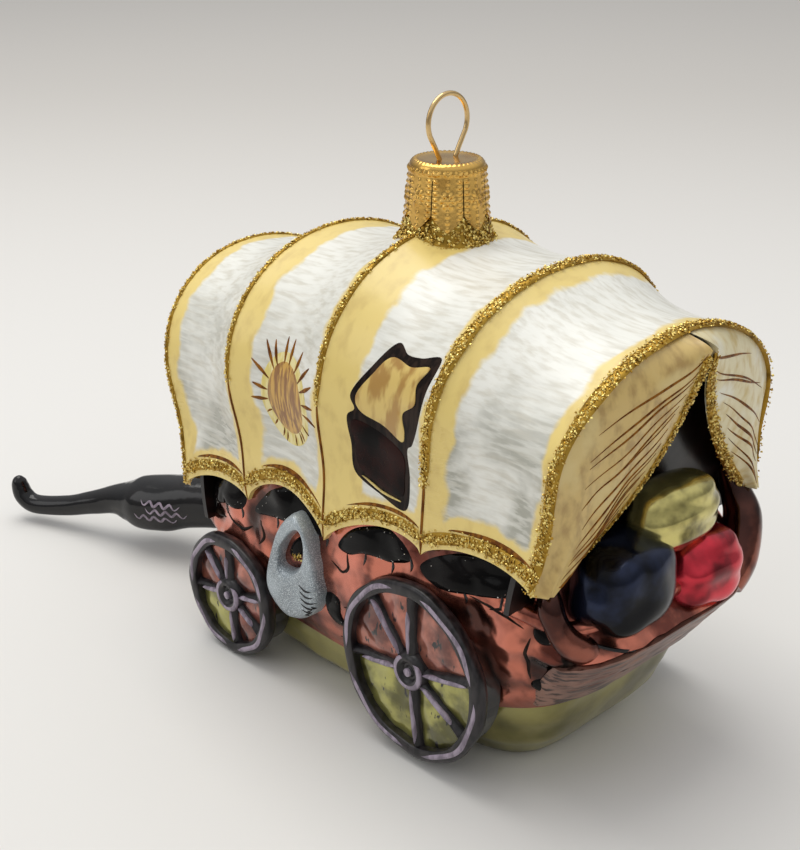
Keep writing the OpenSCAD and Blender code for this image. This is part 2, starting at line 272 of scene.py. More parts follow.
def copperFinish():
    material, tree, shader = newFinish("copperLacquer", 0.95, 0.2, 0.35)
    depth = mottled(tree, 120.0, 0.45, 0.6)
    body = blendColour(tree, depth, srgb(198, 116, 94), srgb(104, 50, 38))
    # Painted highlight: paler pink clouds stand in for light reflected off the glossy copper.
    paintedHighlight = mottled(tree, 55.0, 0.52, 0.66)
    body = blendColour(tree, paintedHighlight, body, srgb(216, 132, 112))
    # Painted shade: the hollow attribute darkens the bed's dents and the upper part of the rear wall ends.
    coloured(tree, shader, attribute(tree, "hollow"), body, srgb(40, 20, 15))
    rippled(tree, shader, 200.0, 0.6, 0.0006)
    return material


def jugFinish():
    material, tree, shader = newFinish("greyGlitterPaint", 0.3, 0.42, 0.15, 0.3)
    specks = mottled(tree, 5200.0, 0.5, 0.62)
    shade = mottled(tree, 160.0, 0.35, 0.7)
    body = blendColour(tree, shade, srgb(160, 170, 176), srgb(124, 132, 138))
    coloured(tree, shader, specks, body, srgb(206, 214, 218))
    rippled(tree, shader, 4200.0, 0.2, 0.0001)
    return material


def blackFinish():
    material, tree, shader = newFinish("blackGloss", 0.0, 0.13)
    shade = mottled(tree, 120.0, 0.4, 0.75)
    shader.inputs["Specular IOR Level"].default_value = 0.4
    coloured(tree, shader, shade, srgb(12, 11, 12), srgb(28, 25, 25))
    rippled(tree, shader, 300.0, 0.25)
    return material


def metalFinish(name, bright, dull, roughness):
    material, tree, shader = newFinish(name, 1.0, roughness)
    tarnish = mottled(tree, 300.0, 0.45, 0.8)
    coloured(tree, shader, tarnish, bright, dull)
    feed(tree, ramp(tree, tarnish, 0.0, 1.0, roughness, roughness + 0.14), shader.inputs["Roughness"])
    rippled(tree, shader, 1800.0, 0.15, 0.0001)
    return material


finishes = {
    "canvas": canvasFinish(),
    "curtainLeft": curtainFinish("curtainTanPaint", srgb(212, 182, 112), srgb(178, 146, 86), srgb(218, 194, 130)),
    "curtainRight": curtainFinish("curtainPalePaint", srgb(226, 214, 172), srgb(206, 182, 118), srgb(232, 228, 208)),
    "goldGlitter": glitterFinish("goldGlitter", srgb(176, 134, 46), srgb(255, 236, 150), 0.38),
    "glitterBed": metalFinish("goldGlitterBed", srgb(176, 140, 58), srgb(120, 90, 30), 0.5),
    "copper": copperFinish(),
    "leaf": lacquer("greenLacquer", srgb(160, 152, 88), srgb(92, 86, 34), 60, 0.4, 0.7, 0.5, 0.32, 0.5, 0.2),
    "board": boardFinish(),
    "inside": lacquer("darkInside", srgb(14, 7, 6), srgb(44, 18, 13), 70, 0.5, 0.8, 0.0, 0.3, 0.0, 0.2),
    "navy": lacquer("blueLacquer", srgb(40, 48, 72), srgb(10, 11, 15), 100, 0.36, 0.56, 0.85, 0.24, 0.15, 0.3),
    "red": lacquer("redLacquer", srgb(214, 50, 66), srgb(104, 14, 24), 120, 0.42, 0.66, 0.85, 0.24, 0.3, 0.3),
    "olive": lacquer("oliveLacquer", srgb(212, 200, 124), srgb(92, 82, 34), 140, 0.42, 0.64, 0.9, 0.22, 0.4, 0.3),
    "web": webFinish(),
    "wheelBlack": plainPaint("wheelCharcoal", srgb(20, 18, 20), srgb(44, 40, 42), 0.3, 0.0, shine=0.4),
    "lilac": plainPaint("wheelLilac", srgb(160, 146, 162), srgb(118, 106, 120), 0.4, 0.2),
    "jug": jugFinish(),
    "black": blackFinish(),
    "charcoal": plainPaint("charcoalLine", srgb(20, 13, 10), srgb(46, 34, 28), 0.34, 0.0, shine=0.08),
    "brown": plainPaint("brownLine", srgb(98, 54, 12), srgb(142, 90, 26), 0.42, 0.0, shine=0.1),
    "wash": plainPaint("sunWash", srgb(222, 202, 112), srgb(236, 222, 160), 0.42, 0.2),
    "ochre": plainPaint("ochreWash", srgb(206, 160, 72), srgb(140, 92, 34), 0.4, 0.3, (1500.0, 1500.0, 150.0)),
    "flap": plainPaint("goldFlap", srgb(216, 186, 104), srgb(172, 130, 56), 0.36, 0.3, (420.0, 420.0, 130.0)),
    "cream": plainPaint("creamEdge", srgb(232, 206, 122), srgb(205, 182, 112), 0.42, 0.3),
    "pane": plainPaint("windowPane", srgb(6, 3, 3), srgb(40, 12, 8), 0.2, 0.0, (120.0, 120.0, 120.0), 0.07),
    "oval": plainPaint("ovalBlack", srgb(6, 5, 5), srgb(16, 13, 13), 0.14, 0.0, (120.0, 120.0, 120.0), 0.1),
    "gold": metalFinish("capGold", srgb(222, 178, 96), srgb(164, 120, 54), 0.2),
    "wire": metalFinish("wireGold", srgb(216, 184, 130), srgb(186, 152, 102), 0.2),
    "sparkle": glitterFinish("silverSparkle", srgb(150, 150, 150), srgb(245, 240, 230), 0.2),
}
print("finishes:", len(finishes))


# Mesh helpers.

def around(count):  # even angles for one full turn
    return np.linspace(0, 2 * math.pi, count, endpoint=False)


def levelRing(r, turn, z):  # points about the neck's middle
    return np.stack([r * np.cos(turn), r * np.sin(turn), z + 0 * turn], -1)


def catmull(points, per=6, closed=False):  # a smooth curve through the points
    points = np.array(points, float)
    n = len(points)
    spans = n if closed else n - 1
    made = []
    for i in range(spans):
        if closed:
            a, b, c, d = (points[(i + k) % n] for k in (-1, 0, 1, 2))
        else:
            a, b, c, d = (points[min(max(i + k, 0), n - 1)] for k in (-1, 0, 1, 2))
        for k in range(per):
            t = k / per
            bend = (2 * a - 5 * b + 4 * c - d) * t ** 2 + (3 * b - a - 3 * c + d) * t ** 3
            made.append(0.5 * (2 * b + (c - a) * t + bend))
    if not closed:
        made.append(points[-1])
    return np.array(made)


def heap():  # a growing mesh: corners and faces
    return {"points": [], "faces": [], "count": 0}


def pour(into, points, faces):
    base = into["count"]
    points = np.asarray(points, float).reshape(-1, 3)
    into["points"].append(points)
    into["faces"].extend([tuple(base + k for k in face) for face in faces])
    into["count"] += len(points)


def sheetFaces(n, m):
    def at(i, j, back):
        return back * n * m + i * m + j
    faces = []
    for i in range(n - 1):
        for j in range(m - 1):
            faces.append((at(i, j, 0), at(i, j + 1, 0), at(i + 1, j + 1, 0), at(i + 1, j, 0)))
            faces.append((at(i, j, 1), at(i + 1, j, 1), at(i + 1, j + 1, 1), at(i, j + 1, 1)))
    for i in range(n - 1):
        faces.append((at(i, 0, 0), at(i + 1, 0, 0), at(i + 1, 0, 1), at(i, 0, 1)))
        faces.append((at(i, m - 1, 0), at(i, m - 1, 1), at(i + 1, m - 1, 1), at(i + 1, m - 1, 0)))
    for j in range(m - 1):
        faces.append((at(0, j, 0), at(0, j, 1), at(0, j + 1, 1), at(0, j + 1, 0)))
        faces.append((at(n - 1, j, 0), at(n - 1, j + 1, 0), at(n - 1, j + 1, 1), at(n - 1, j, 1)))
    return faces


def addSheet(into, front, back):  # a closed skin between two grids of the same size
    front, back = np.asarray(front), np.asarray(back)
    pour(into, np.concatenate([front.reshape(-1, 3), back.reshape(-1, 3)]), sheetFaces(*front.shape[:2]))


def addRings(into, rings, loop=False):  # a closed skin through rings; loop joins the last ring to the first
    rings = np.asarray(rings)
    n, m = rings.shape[:2]
    faces = []
    for i in range(n if loop else n - 1):
        d = (i + 1) % n
        for j in range(m):
            k = (j + 1) % m
            faces.append((i * m + j, i * m + k, d * m + k, d * m + j))
    points = rings.reshape(-1, 3)
    if not loop:
        points = np.concatenate([points, [rings[0].mean(0), rings[-1].mean(0)]])
        for j in range(m):
            k = (j + 1) % m
            faces.append((k, j, n * m))
            faces.append(((n - 1) * m + j, (n - 1) * m + k, n * m + 1))
    pour(into, points, faces)


def unit(v):
    v = np.asarray(v, float)
    return v / np.maximum(np.linalg.norm(v, axis=-1, keepdims=True), 1e-9)


def addBar(into, points, radii, sides=16, hint=(0.0, 1.0, 0.001)):  # a round bar along a line
    points = np.asarray(points, float)
    along = unit(np.gradient(points, axis=0))
    across = unit(np.cross(along, hint))
    over = np.cross(across, along)
    turn = around(sides)
    radii = np.broadcast_to(radii, len(points))
    rings = [p + r * (np.cos(turn)[:, None] * a + np.sin(turn)[:, None] * o)
             for p, r, a, o in zip(points, radii, across, over)]
    addRings(into, rings)


def addRibbon(into, points, normals, width, height=0.3, taper=0.5, sunk=0.12, sides=8):  # a raised brush line
    points = np.asarray(points, float)
    normals = unit(normals)
    along = unit(np.gradient(points, axis=0))
    across = unit(np.cross(along, normals))
    n = len(points)
    t = np.linspace(0, 1, n)
    swell = np.clip(np.minimum(t, 1 - t) / max(taper, 1e-3), 0, 1) ** 0.6 * 0.94 + 0.06
    width = np.broadcast_to(width, n) * swell
    turn = around(sides)
    rings = []
    for p, q, a, w, s in zip(points, normals, across, width, swell):
        lift = height * (0.4 + 0.6 * s)
        oval = np.cos(turn)[:, None] * a * w / 2 + np.sin(turn)[:, None] * q * (lift + sunk) * 0.95
        rings.append(p - q * sunk + oval)
    addRings(into, rings)


def makePiece(name, parts, finish, body="glass", replaces=(), crease=38, extra=None):
    points = np.concatenate(parts["points"]) * mm
    mesh = bpy.data.meshes.new(name)
    mesh.from_pydata(points.tolist(), [], parts["faces"])
    if extra:
        for label, values in extra.items():
            mesh.attributes.new(label, "FLOAT", "POINT").data.foreach_set("value", np.asarray(values, np.float32))
    work = bmesh.new()
    work.from_mesh(mesh)
    bmesh.ops.recalc_face_normals(work, faces=work.faces)
    work.to_mesh(mesh)
    work.free()
    mesh.shade_smooth()
    mesh.set_sharp_from_angle(angle=math.radians(crease))
    mesh.materials.append(finishes[finish])
    piece = bpy.data.objects.new(name, mesh)
    bpy.context.scene.collection.objects.link(piece)
    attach(piece, body)
    if replaces:
        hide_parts(*replaces)
    return piece


def addFlakes(into, tones, centres, normals, size=0.46):  # loose glitter: small flattened octahedra, turned at random
    centres, normals = np.asarray(centres), unit(normals)
    n = len(centres)
    tilt = unit(normals + draw.normal(0, 0.55, (n, 3)))
    side = unit(np.cross(tilt, draw.normal(0, 1, (n, 3))))
    other = np.cross(tilt, side)
    s = size * draw.uniform(0.6, 1.2, (n, 1)) / 2
    corners = np.stack([centres + side * s, centres + other * s, centres - side * s, centres - other * s,
                        centres + tilt * s * 0.35, centres - tilt * s * 0.35], axis=1)
    faces = [(6 * k + a, 6 * k + b, 6 * k + c) for k in range(n) for a, b, c in
             ((0, 1, 4), (1, 2, 4), (2, 3, 4), (3, 0, 4), (1, 0, 5), (2, 1, 5), (3, 2, 5), (0, 3, 5))]
    pour(into, corners, faces)
    tones.append(np.repeat(draw.uniform(0, 1, n) ** 1.3, 6))


def scatterAlong(into, tones, points, normals, width, perArea=8.5, size=0.47, lift=0.22):
    points, normals = np.asarray(points, float), unit(normals)
    along = unit(np.gradient(points, axis=0))
    across = unit(np.cross(along, normals))
    gaps = np.linalg.norm(np.diff(points, axis=0), axis=1)
    travel = np.concatenate([[0], np.cumsum(gaps)])
    width = np.broadcast_to(width, len(points))
    count = int(travel[-1] * width.mean() * perArea)
    t = draw.uniform(0, travel[-1], count)
    at = np.stack([np.interp(t, travel, points[:, k]) for k in range(3)], 1)
    up = unit(np.stack([np.interp(t, travel, normals[:, k]) for k in range(3)], 1))
    sideways = unit(np.stack([np.interp(t, travel, across[:, k]) for k in range(3)], 1))
    off = draw.normal(0, 0.3, count).clip(-0.62, 0.62)
    dome = lift * (1 - (off / 0.62) ** 2)
    at = at + sideways * (off * np.interp(t, travel, width))[:, None]
    at = at + up * (dome + draw.uniform(0.02, 0.12, count))[:, None]
    addFlakes(into, tones, at, up, size)


# The canvas top.

canopy = {
    # x at the foot, lean, half width at the shoulder and the foot, waist, foot z, crown z, squareness
    "bows": np.array([
        [-42, -9.5, 24.8, 25.6, 0.6, 28.7, 69.5, 0.97],
        [-23, -4, 27.4, 25.8, 1, 32.2, 76.8, 0.97],
        [-1.2, 1, 28.4, 27.2, 1.1, 32.8, 82, 0.93],
        [21.2, 4.4, 28, 26.8, 0.3, 38.5, 80.6, 0.97],
        [44.8, 3.5, 26.4, 28.2, 0.3, 41, 75.6, 1.08]]),
    "sag": 2.0, "footSag": 0.3, "spring": 0.38, "wall": 1.2,
    "scallop": 5.7, "shares": np.array([0.5, 1, 0.67, 0.53]),  # the hem's rise, and each bay's share of it
    "band": np.array([3.8, 5.6, 7.6, 4.2]), "before": np.array([1.2, 2.0, 1.8, 3.2]),  # cream beside each bow
    "bare": np.array([0.95, 0.5, 0.5, 1.0]),  # how much grey silver shows through the white of each bay
    "bandReach": (1.0, 0.62, 0.62, 0.78, 1.0),  # how far the glitter runs down each bow before a brown line goes on
    "bandWidth": (0.9, 1.0, 1.15, 1.9, 2.2),
    "hemGlitter": 0.04, "hemBrown": 0.072}  # shares of the side between the foot and these lines


def arch(u, s, inset=0.0):  # u runs from bow to bow, s from -1 at the left foot to 1 at the right foot
    u, s = np.broadcast_arrays(np.asarray(u, float), np.asarray(s, float))
    bows = canopy["bows"]
    i = np.clip(np.floor(u).astype(int), 0, len(bows) - 2)
    f = u - i
    row = bows[i] * (1 - f)[..., None] + bows[i + 1] * f[..., None]
    sag = np.sin(math.pi * f).clip(0)
    half = row[..., 2] - sag * canopy["sag"] - inset
    footHalf = row[..., 3] - sag * canopy["sag"] * canopy["footSag"] - inset
    foot = row[..., 5] + canopy["scallop"] * canopy["shares"][i] * sag ** 0.6
    crown = row[..., 6] - sag * canopy["sag"] - inset
    spring = (row[..., 5] + row[..., 6]) / 2
    h = 1 - np.abs(s)
    down = 1 - np.minimum(h / canopy["spring"], 1)
    a = math.pi / 2 * ((h - canopy["spring"]) / (1 - canopy["spring"])).clip(0)
    sideY = half + (footHalf - half) * down ** 2 - row[..., 4] * np.sin(math.pi * down) ** 2
    topY = half * np.cos(a).clip(0) ** row[..., 7]
    sideZ = spring + (foot - spring) * down
    topZ = spring + (crown - spring) * np.sin(a) ** row[..., 7]
    y = np.where(down > 0, sideY, topY)
    z = np.where(down > 0, sideZ, topZ)
    x = row[..., 0] + row[..., 1] * (z - row[..., 5]) / (row[..., 6] - row[..., 5])
    return np.stack([x, np.sign(s) * y, z], -1)


def archNormal(u, s):
    e = 0.004
    u = np.clip(u, e, len(canopy["bows"]) - 1 - e)
    clear = np.floor(u) + np.clip(u - np.floor(u), 0.06, 0.94)  # kept off the bows' creases
    du = arch(clear + e, s) - arch(clear - e, s)
    ds = arch(u, np.clip(s + e, -1, 1)) - arch(u, np.clip(s - e, -1, 1))
    out = unit(np.cross(du, ds))
    outward = arch(u, s) * [0, 1, 1] - [0, 0, 40]
    return out * np.sign((out * outward).sum(-1, keepdims=True))


def makeCanopy():
    us = np.linspace(0, 4, 113)
    ss = np.linspace(-1, 1, 129)
    u, s = np.meshgrid(us, ss, indexing="ij")
    outer = arch(u, s)
    wobble = np.array([[noise.noise(Vector(p) * 0.11) * 0.28 for p in row] for row in outer])
    inner = arch(u, s, canopy["wall"])
    outer = outer + archNormal(u, s) * (wobble * np.sin(math.pi * (u % 1)).clip(0))[..., None]
    i = np.clip(np.floor(u).astype(int), 0, 3)
    f = u - i
    length = np.linalg.norm(arch(i + 1.0, s) - arch(i + 0.0, s), axis=-1)
    behind = f * length - canopy["band"][i]
    ahead = (1 - f) * length - canopy["before"][i]
    hemUp = outer[..., 2] - arch(u, np.sign(s) + (s == 0))[..., 2] - 5
    hemUp = np.where(np.abs(s) > 0.6, hemUp, 9)
    patch = np.minimum(np.minimum(behind, ahead), hemUp)
    low = np.clip((0.85 - (1 - np.abs(s))) / 0.5, 0.15, 1)
    bare = canopy["bare"][i] * low
    parts = heap()
    addSheet(parts, outer, inner)
    double = lambda a: np.concatenate([a.ravel(), a.ravel()])
    return makePiece("canopyPainted", parts, "canvas", replaces=("canopy",), crease=50,
                     extra={"patch": double(patch), "bare": double(bare)})


canopyPiece = makeCanopy()


def treeOf(piece):
    mesh = piece.data
    return BVHTree.FromPolygons([v.co / mm for v in mesh.vertices], [list(p.vertices) for p in mesh.polygons])


canopyTree = treeOf(canopyPiece)

glitter = {"bed": heap(), "flakes": heap(), "tones": []}
lines = {"brown": heap(), "charcoal": heap(), "black": heap(), "cream": heap()}


def glitterBand(points, normals, width, lift=0.3, taper=0.04):
    addRibbon(glitter["bed"], points, normals, width, lift, taper)
    scatterAlong(glitter["flakes"], glitter["tones"], points, normals, width, lift=lift)


def bowBands():
    for i, (reach, width) in enumerate(zip(canopy["bandReach"], canopy["bandWidth"])):
        s = np.linspace(-reach, reach, 180)
        u = np.full_like(s, i)
        near = np.clip(u + (0.02 if i == 0 else -0.02 if i == 4 else 0), 0, 4)
        points = arch(near, s)
        swell = width * (1 + 0.18 * np.array([noise.noise(Vector(p) * 0.2) for p in points]))
        glitterBand(points, bowNormal(u, s), swell)
        if reach < 1:
            for side in (-1, 1):
                s = side * np.linspace(reach - 0.02, 1.0, 40)
                u = np.full_like(s, i)
                addRibbon(lines["brown"], arch(u, s), bowNormal(u, s), 0.55, 0.2, 0.15)


def bowNormal(u, s):
    return unit(arch(u, s) - arch(u, s, 3.0))


def hemBands():
    for i in range(4):
        for side in (-1, 1):
            u, s = i + np.linspace(0.01, 0.99, 60), side * (1 - canopy["hemGlitter"])
            glitterBand(arch(u, s), archNormal(u, s), 2.2, 0.34, 0.06)
            u, s = i + np.linspace(0.22, 0.97, 44), side * (1 - canopy["hemBrown"])
            addRibbon(lines["brown"], arch(u, s), archNormal(u, s), 0.9, 0.22, 0.3)


bowBands()
hemBands()


def castSide(tree, x, z, side):  # where a level line across the wagon first meets a painted surface
    hit, normal, _, _ = tree.ray_cast(Vector((x, side * 70, z)), Vector((0, -side, 0)))
    if hit is None:
        hit, normal, _, _ = tree.find_nearest(Vector((x, side * 28, z)))
    if normal.y * side < 0:
        normal = -normal
    return np.array(hit), np.array(normal)


def castRear(tree, y, z):
    hit, normal, _, _ = tree.ray_cast(Vector((90, y, z)), Vector((-1, 0, 0)))
    if hit is None:
        hit, normal, _, _ = tree.find_nearest(Vector((48, y, z)))
    if normal.x < 0:
        normal = -normal
    return np.array(hit), np.array(normal)


def sideLine(into, tree, points, side, width, height=0.25, taper=0.4, per=8):
    line = catmull(points, per)
    hits = [castSide(tree, x, z, side) for x, z in line]
    addRibbon(into, *zip(*hits), width, height, taper)


def addPatch(into, outline, cast, height=0.3, rings=7, sunk=0.35, per=8):  # a domed daub inside a closed outline
    edge = catmull(outline, per, closed=True)
    centre = edge.mean(0)
    top, low = [], []
    for k in range(1, rings + 1):
        t = k / rings
        hits = [cast(*(centre + (p - centre) * t)) for p in edge]
        lift = height * (1 - t ** 4) + 0.03
        top.append([h[0] + h[1] * lift for h in hits])
        low.append([h[0] - h[1] * sunk for h in hits])
    addRings(into, [low[0], low[-1]] + top[::-1])


# The painted sun, the window and the brown lines of the canvas sides.
sun = {
    "x": -11.2, "z": 54.6, "wide": 5.0, "tall": 6.4, "rays": 20,
    "up": (4.6, 6.4, 0.85), "level": (3.8, 5.0, 0.85), "down": (1.8, 2.8, 0.5)}  # shortest and longest ray, and width
window = {
    "outline": [
        (11.9, 69.7), (14.9, 68.8), (18.1, 69.1), (22.5, 70.1), (21.7, 65.3), (20.9, 60.1), (19.5, 56.5), (18.1, 54.9),
        (18.5, 50), (17.6, 44.7), (11.9, 45.1), (5.5, 47.1), (5, 52.5), (4.8, 56.9), (6.3, 58.5), (5.5, 60.9),
        (8.5, 65.5)],
    "flap": [
        (12, 67.7), (16.7, 67.5), (20.9, 68.5), (19.3, 65.7), (19.7, 62.9), (17.1, 60.7), (17.7, 57.9), (16.9, 56.1),
        (12.7, 57.4), (7.9, 58.3), (6.6, 60.7), (9.1, 64.5)],
    "pane": [
        (5.9, 56.5), (11.1, 56.1), (16.9, 54.1), (17.3, 50.1), (16.6, 46.7), (11.7, 46.7), (6.5, 48.3), (5.9, 52.5)],
    "paneEdge": [(7.1, 47.0), (11.9, 45.8), (16.5, 45.8)]}
daubs = {name: heap() for name in ("wash", "ochre", "charcoal", "flap", "pane", "black")}


def sideCast(tree, side):
    return lambda x, z: castSide(tree, x, z, side)


def makeSun(side):
    x, z, wide, tall = sun["x"], sun["z"], sun["wide"], sun["tall"]
    outline = []
    for a in around(12):
        c, d = math.cos(a), math.sin(a)
        outline.append((x + wide * c, z + tall * d * (1.06 if d > 0 else 1)))
    wash = [(x + (p - x) * 1.3, z + (q - z) * 1.24 - 0.3) for p, q in outline]
    addPatch(daubs["wash"], wash, sideCast(canopyTree, side), 0.05)
    addPatch(daubs["ochre"], outline, sideCast(canopyTree, side), 0.22)
    for k in range(sun["rays"]):
        a = 2 * math.pi * (k + 0.3 * draw.uniform(-1, 1)) / sun["rays"] + 0.15
        c, d = math.cos(a), math.sin(a)
        shortest, longest, width = sun["up"] if d > 0.25 else sun["level"] if d > -0.3 else sun["down"]
        long = draw.uniform(shortest, longest)
        bend = draw.uniform(-0.5, 0.5)
        run = [(x + wide * 0.95 * c + long * t * c * (0.95 - 0.25 * abs(d)) - bend * t * (1 - t) * d,
                z + tall * 0.95 * d + long * t * d * 0.95 + bend * t * (1 - t) * c) for t in (0, 0.33, 0.66, 1)]
        sideLine(lines["brown"], canopyTree, run, side, width, 0.22, 0.45, 4)


def makeWindow(side):
    cast = sideCast(canopyTree, side)
    addPatch(daubs["charcoal"], window["outline"], cast, 0.14, 10)
    for name, height in (("flap", 0.22), ("pane", 0.25)):
        addPatch(daubs[name], window[name], lambda x, z: lifted(cast, x, z, 0.16), height, 9)
    hits = [lifted(cast, x, z, 0.2) for x, z in catmull(window["paneEdge"], 8)]
    addRibbon(lines["cream"], *zip(*hits), 0.35, 0.2, 0.3)


def lifted(cast, x, z, lift):
    point, normal = cast(x, z)
    return point + normal * lift, normal


for side in (-1, 1):
    makeSun(side)
    makeWindow(side)
print("canvas painted")


# The wagon's bed and the base under it: one wall of glass, moulded in lumps.
bed = {
    # share of the bed's height, length to the front, length to the rear, half width
    "levels": np.array([[0, 40, 43, 22], [0.2, 44, 47.5, 24.5], [0.42, 46, 52, 26], [0.62, 44.5, 48, 26],
                        [0.8, 42.8, 45, 25.2], [0.9, 42, 44, 24.4], [1, 41, 43.3, 22.4]]),
    "corner": 0.42, "floor": 9.5, "rearRise": 7.5, "frontRise": 3, "half": 45, "underHem": 9, "dip": 8,
    "lump": 1.0, "lumpSize": 5.6, "dent": 0.3, "dentSize": 2.4}
base = {"levels": np.array([[0, 30, 33, 17], [0.06, 31.4, 34.4, 17.8], [0.35, 35.5, 38.5, 20.5],
                            [0.7, 38.6, 41.4, 21.6], [1, 40, 43, 22]])}


def power(v, p):
    return np.sign(v) * np.abs(v) ** p


def plan(row, phi, corner):
    x = power(np.cos(phi), corner)
    return np.where(np.cos(phi) > 0, x * row[2], x * row[1]), power(np.sin(phi), corner) * row[3]


def bedFloor(x):
    return bed["floor"] + np.where(x > 0, bed["rearRise"], bed["frontRise"]) * (x / bed["half"]) ** 2


def footLine(x):
    return np.interp(x, canopy["bows"][:, 0], canopy["bows"][:, 5])


def bedTop(x):
    return footLine(x) + bed["underHem"] * (1 - np.minimum(np.abs(x) / bed["half"], 1) ** bed["dip"])


def rowAt(levels, share):
    return [share] + [np.interp(share, levels[:, 0], levels[:, k]) for k in (1, 2, 3)]


def bedPoint(phi, share):
    x, y = plan(rowAt(bed["levels"], share), phi, bed["corner"])
    low, high = bedFloor(x), bedTop(x)
    return np.stack([x, y, low + (high - low) * share], -1)


def lumps(p, size, seed):
    return noise.noise(Vector((p[0] / size + seed, p[1] / size, p[2] / size)))


def makeBed():
    phis = around(420)
    shares = np.linspace(0, 1, 56)
    rings, hollows = [], []
    for share in shares:
        ring = bedPoint(phis, share)
        ahead, after = np.roll(ring, -1, 0), np.roll(ring, 1, 0)
        out = unit(np.cross(ahead - after, [0, 0, 1]))
        dent = np.array([lumps(p, bed["lumpSize"], 3) for p in ring])
        fine = np.array([lumps(p, bed["dentSize"], 9) for p in ring])
        keep = math.sin(math.pi * min(max(share, 0), 1)) ** 0.4 if 0 < share < 1 else 0
        rings.append(ring + out * ((dent * bed["lump"] + fine * bed["dent"] - 0.25) * keep)[:, None])
        # Painted shade: the deeper a dent, the darker it is painted, as shade would fall in it.
        hollows.append(np.clip(-dent * 3.0 - 0.25, 0, 0.92))
    hollows = np.concatenate([np.concatenate(hollows), [0, 0]])
    parts = heap()
    addRings(parts, rings)
    return makePiece("wagonBedLacquered", parts, "copper", replaces=("wagon_bed",),
                     crease=60, extra={"hollow": hollows})


def makeBase():
    phis = around(260)
    rings = []
    for share in np.linspace(0, 1, 22):
        x, y = plan(rowAt(base["levels"], share), phis, bed["corner"])
        top = plan(base["levels"][-1], phis, bed["corner"])[0]
        z = share * (bedFloor(top) + 0.6)
        ring = np.stack([x, y, z], -1)
        wave = np.array([lumps(p, 5.5, 21) for p in ring]) * 0.5 * min(share * 4, 1)
        out = unit(np.stack([x, y, x * 0], -1))
        rings.append(ring + out * (wave - 0.2)[:, None])
    parts = heap()
    addRings(parts, rings)
    return makePiece("grassBaseLacquered", parts, "leaf", replaces=("grass_base",), crease=60)


bedPiece = makeBed()
makeBase()
bedTree = treeOf(bedPiece)
print("bed and base made")

# The black glitter ovals under the scallops, the dots at the rear corner and the black brush lines.
ovals = [
    [(-41, 27.4), (-37.5, 31.4), (-32.9, 33.4), (-27.6, 34.2), (-24.4, 32), (-25.6, 29.4), (-30.4, 28.6),
     (-36.4, 26.8)],
    [(-21.9, 30.2), (-18.6, 34.8), (-13.8, 37.6), (-9.4, 38.4), (-5.9, 37.4), (-2.8, 32.2), (-8.6, 31.8),
     (-15.4, 31.2)],
    [(0.4, 32), (3.8, 36), (8.8, 38.2), (13, 38.8), (16.6, 37.8), (18, 35.8), (13.6, 33.8), (7.4, 33), (3.4, 31.4)],
    [(19.9, 35.6), (24, 38.8), (29.7, 40.6), (35, 40.8), (38.4, 39.8), (39.4, 37.8), (35.8, 35.8), (29, 34.2),
     (23.6, 33.6)]]
blackDots = [((43.0, 32), 2.0), ((41.6, 20.8), 1.9)]
blackRuns = [  # points of a brush line and its width
    ([(39.6, 36), (37.4, 34.8), (34, 33.4)], 0.7), ([(40.8, 30.6), (40.2, 27), (40, 22.4)], 0.8),
    ([(30, 34.2), (36, 33.6), (39.6, 31.8)], 0.6), ([(3, 31.4), (3.6, 29.4), (2.6, 27.6)], 0.7),
    ([(-1, 28.6), (1.6, 27.4), (3.4, 29)], 0.6), ([(-40, 26.2), (-36, 24.8), (-31, 25.6)], 1.0),
    ([(-30.6, 27.6), (-26, 25.4), (-22.6, 27)], 0.9), ([(-20, 29.2), (-19, 26.4), (-20.4, 24.4)], 0.8),
    ([(1.4, 20.4), (5, 21.2), (8, 20)], 0.6), ([(-2, 12.4), (3, 13.6), (7, 13.2)], 0.7)]
sparks = {"mesh": heap(), "tones": []}


def sparkle(outline, cast, count, size=0.22):
    edge = catmull(outline, 6, closed=True)
    centre = edge.mean(0)
    hits = []
    for _ in range(count):
        rim = edge[draw.randint(len(edge))]
        hits.append(lifted(cast, *(centre + (rim - centre) * draw.uniform(0, 0.95) ** 0.6), 0.3))
    addFlakes(sparks["mesh"], sparks["tones"], *zip(*hits), size)


def blotch(outline, cast, height, rings, sunk, per, count):
    addPatch(daubs["black"], outline, cast, height, rings, sunk, per)
    sparkle(outline, cast, count)


for side in (-1, 1):
    cast = sideCast(bedTree, side)
    for outline in ovals:
        blotch(outline, cast, 0.45, 8, 0.6, 8, 60)
        for x, z in outline[5:8]:  # short drips under each oval
            drip = [(x, z + 0.8), (x + 0.4, z - 0.6), (x + 0.2, z - 1.8)]
            sideLine(lines["black"], bedTree, drip, side, 0.8, 0.2, 0.6, 4)
    for (x, z), r in blackDots:
        ring = [(x + r * math.cos(a), z + r * math.sin(a)) for a in around(10)]
        blotch(ring, cast, 0.4, 5, 0.8, 4, 12)
    rough = [(-3.6, 20.8), (-1.6, 22.2), (0.6, 21.6), (0.2, 18.6), (0.8, 16.2), (-1.8, 15.6), (-3.4, 17.6)]
    blotch(rough, cast, 0.4, 5, 0.8, 4, 10)
    sideLine(lines["charcoal"], bedTree, [(46.4, 33), (46.2, 28), (45.4, 22)], side, 2.4, 0.25, 0.3)
    for run, width in blackRuns:
        sideLine(lines["charcoal"], bedTree, run, side, width, 0.2, 0.4)

# The tailgate: rows of boards on the bed's rear wall, and the black line above them.
tailgate = {"low": 0.03, "high": 0.4, "spread": 43, "lift": 0.9, "groove": 0.22, "rows": 5,
            "line": [(-24, 35.5), (-17, 30), (-6, 26.8), (8, 25.2), (18, 25.6)]}


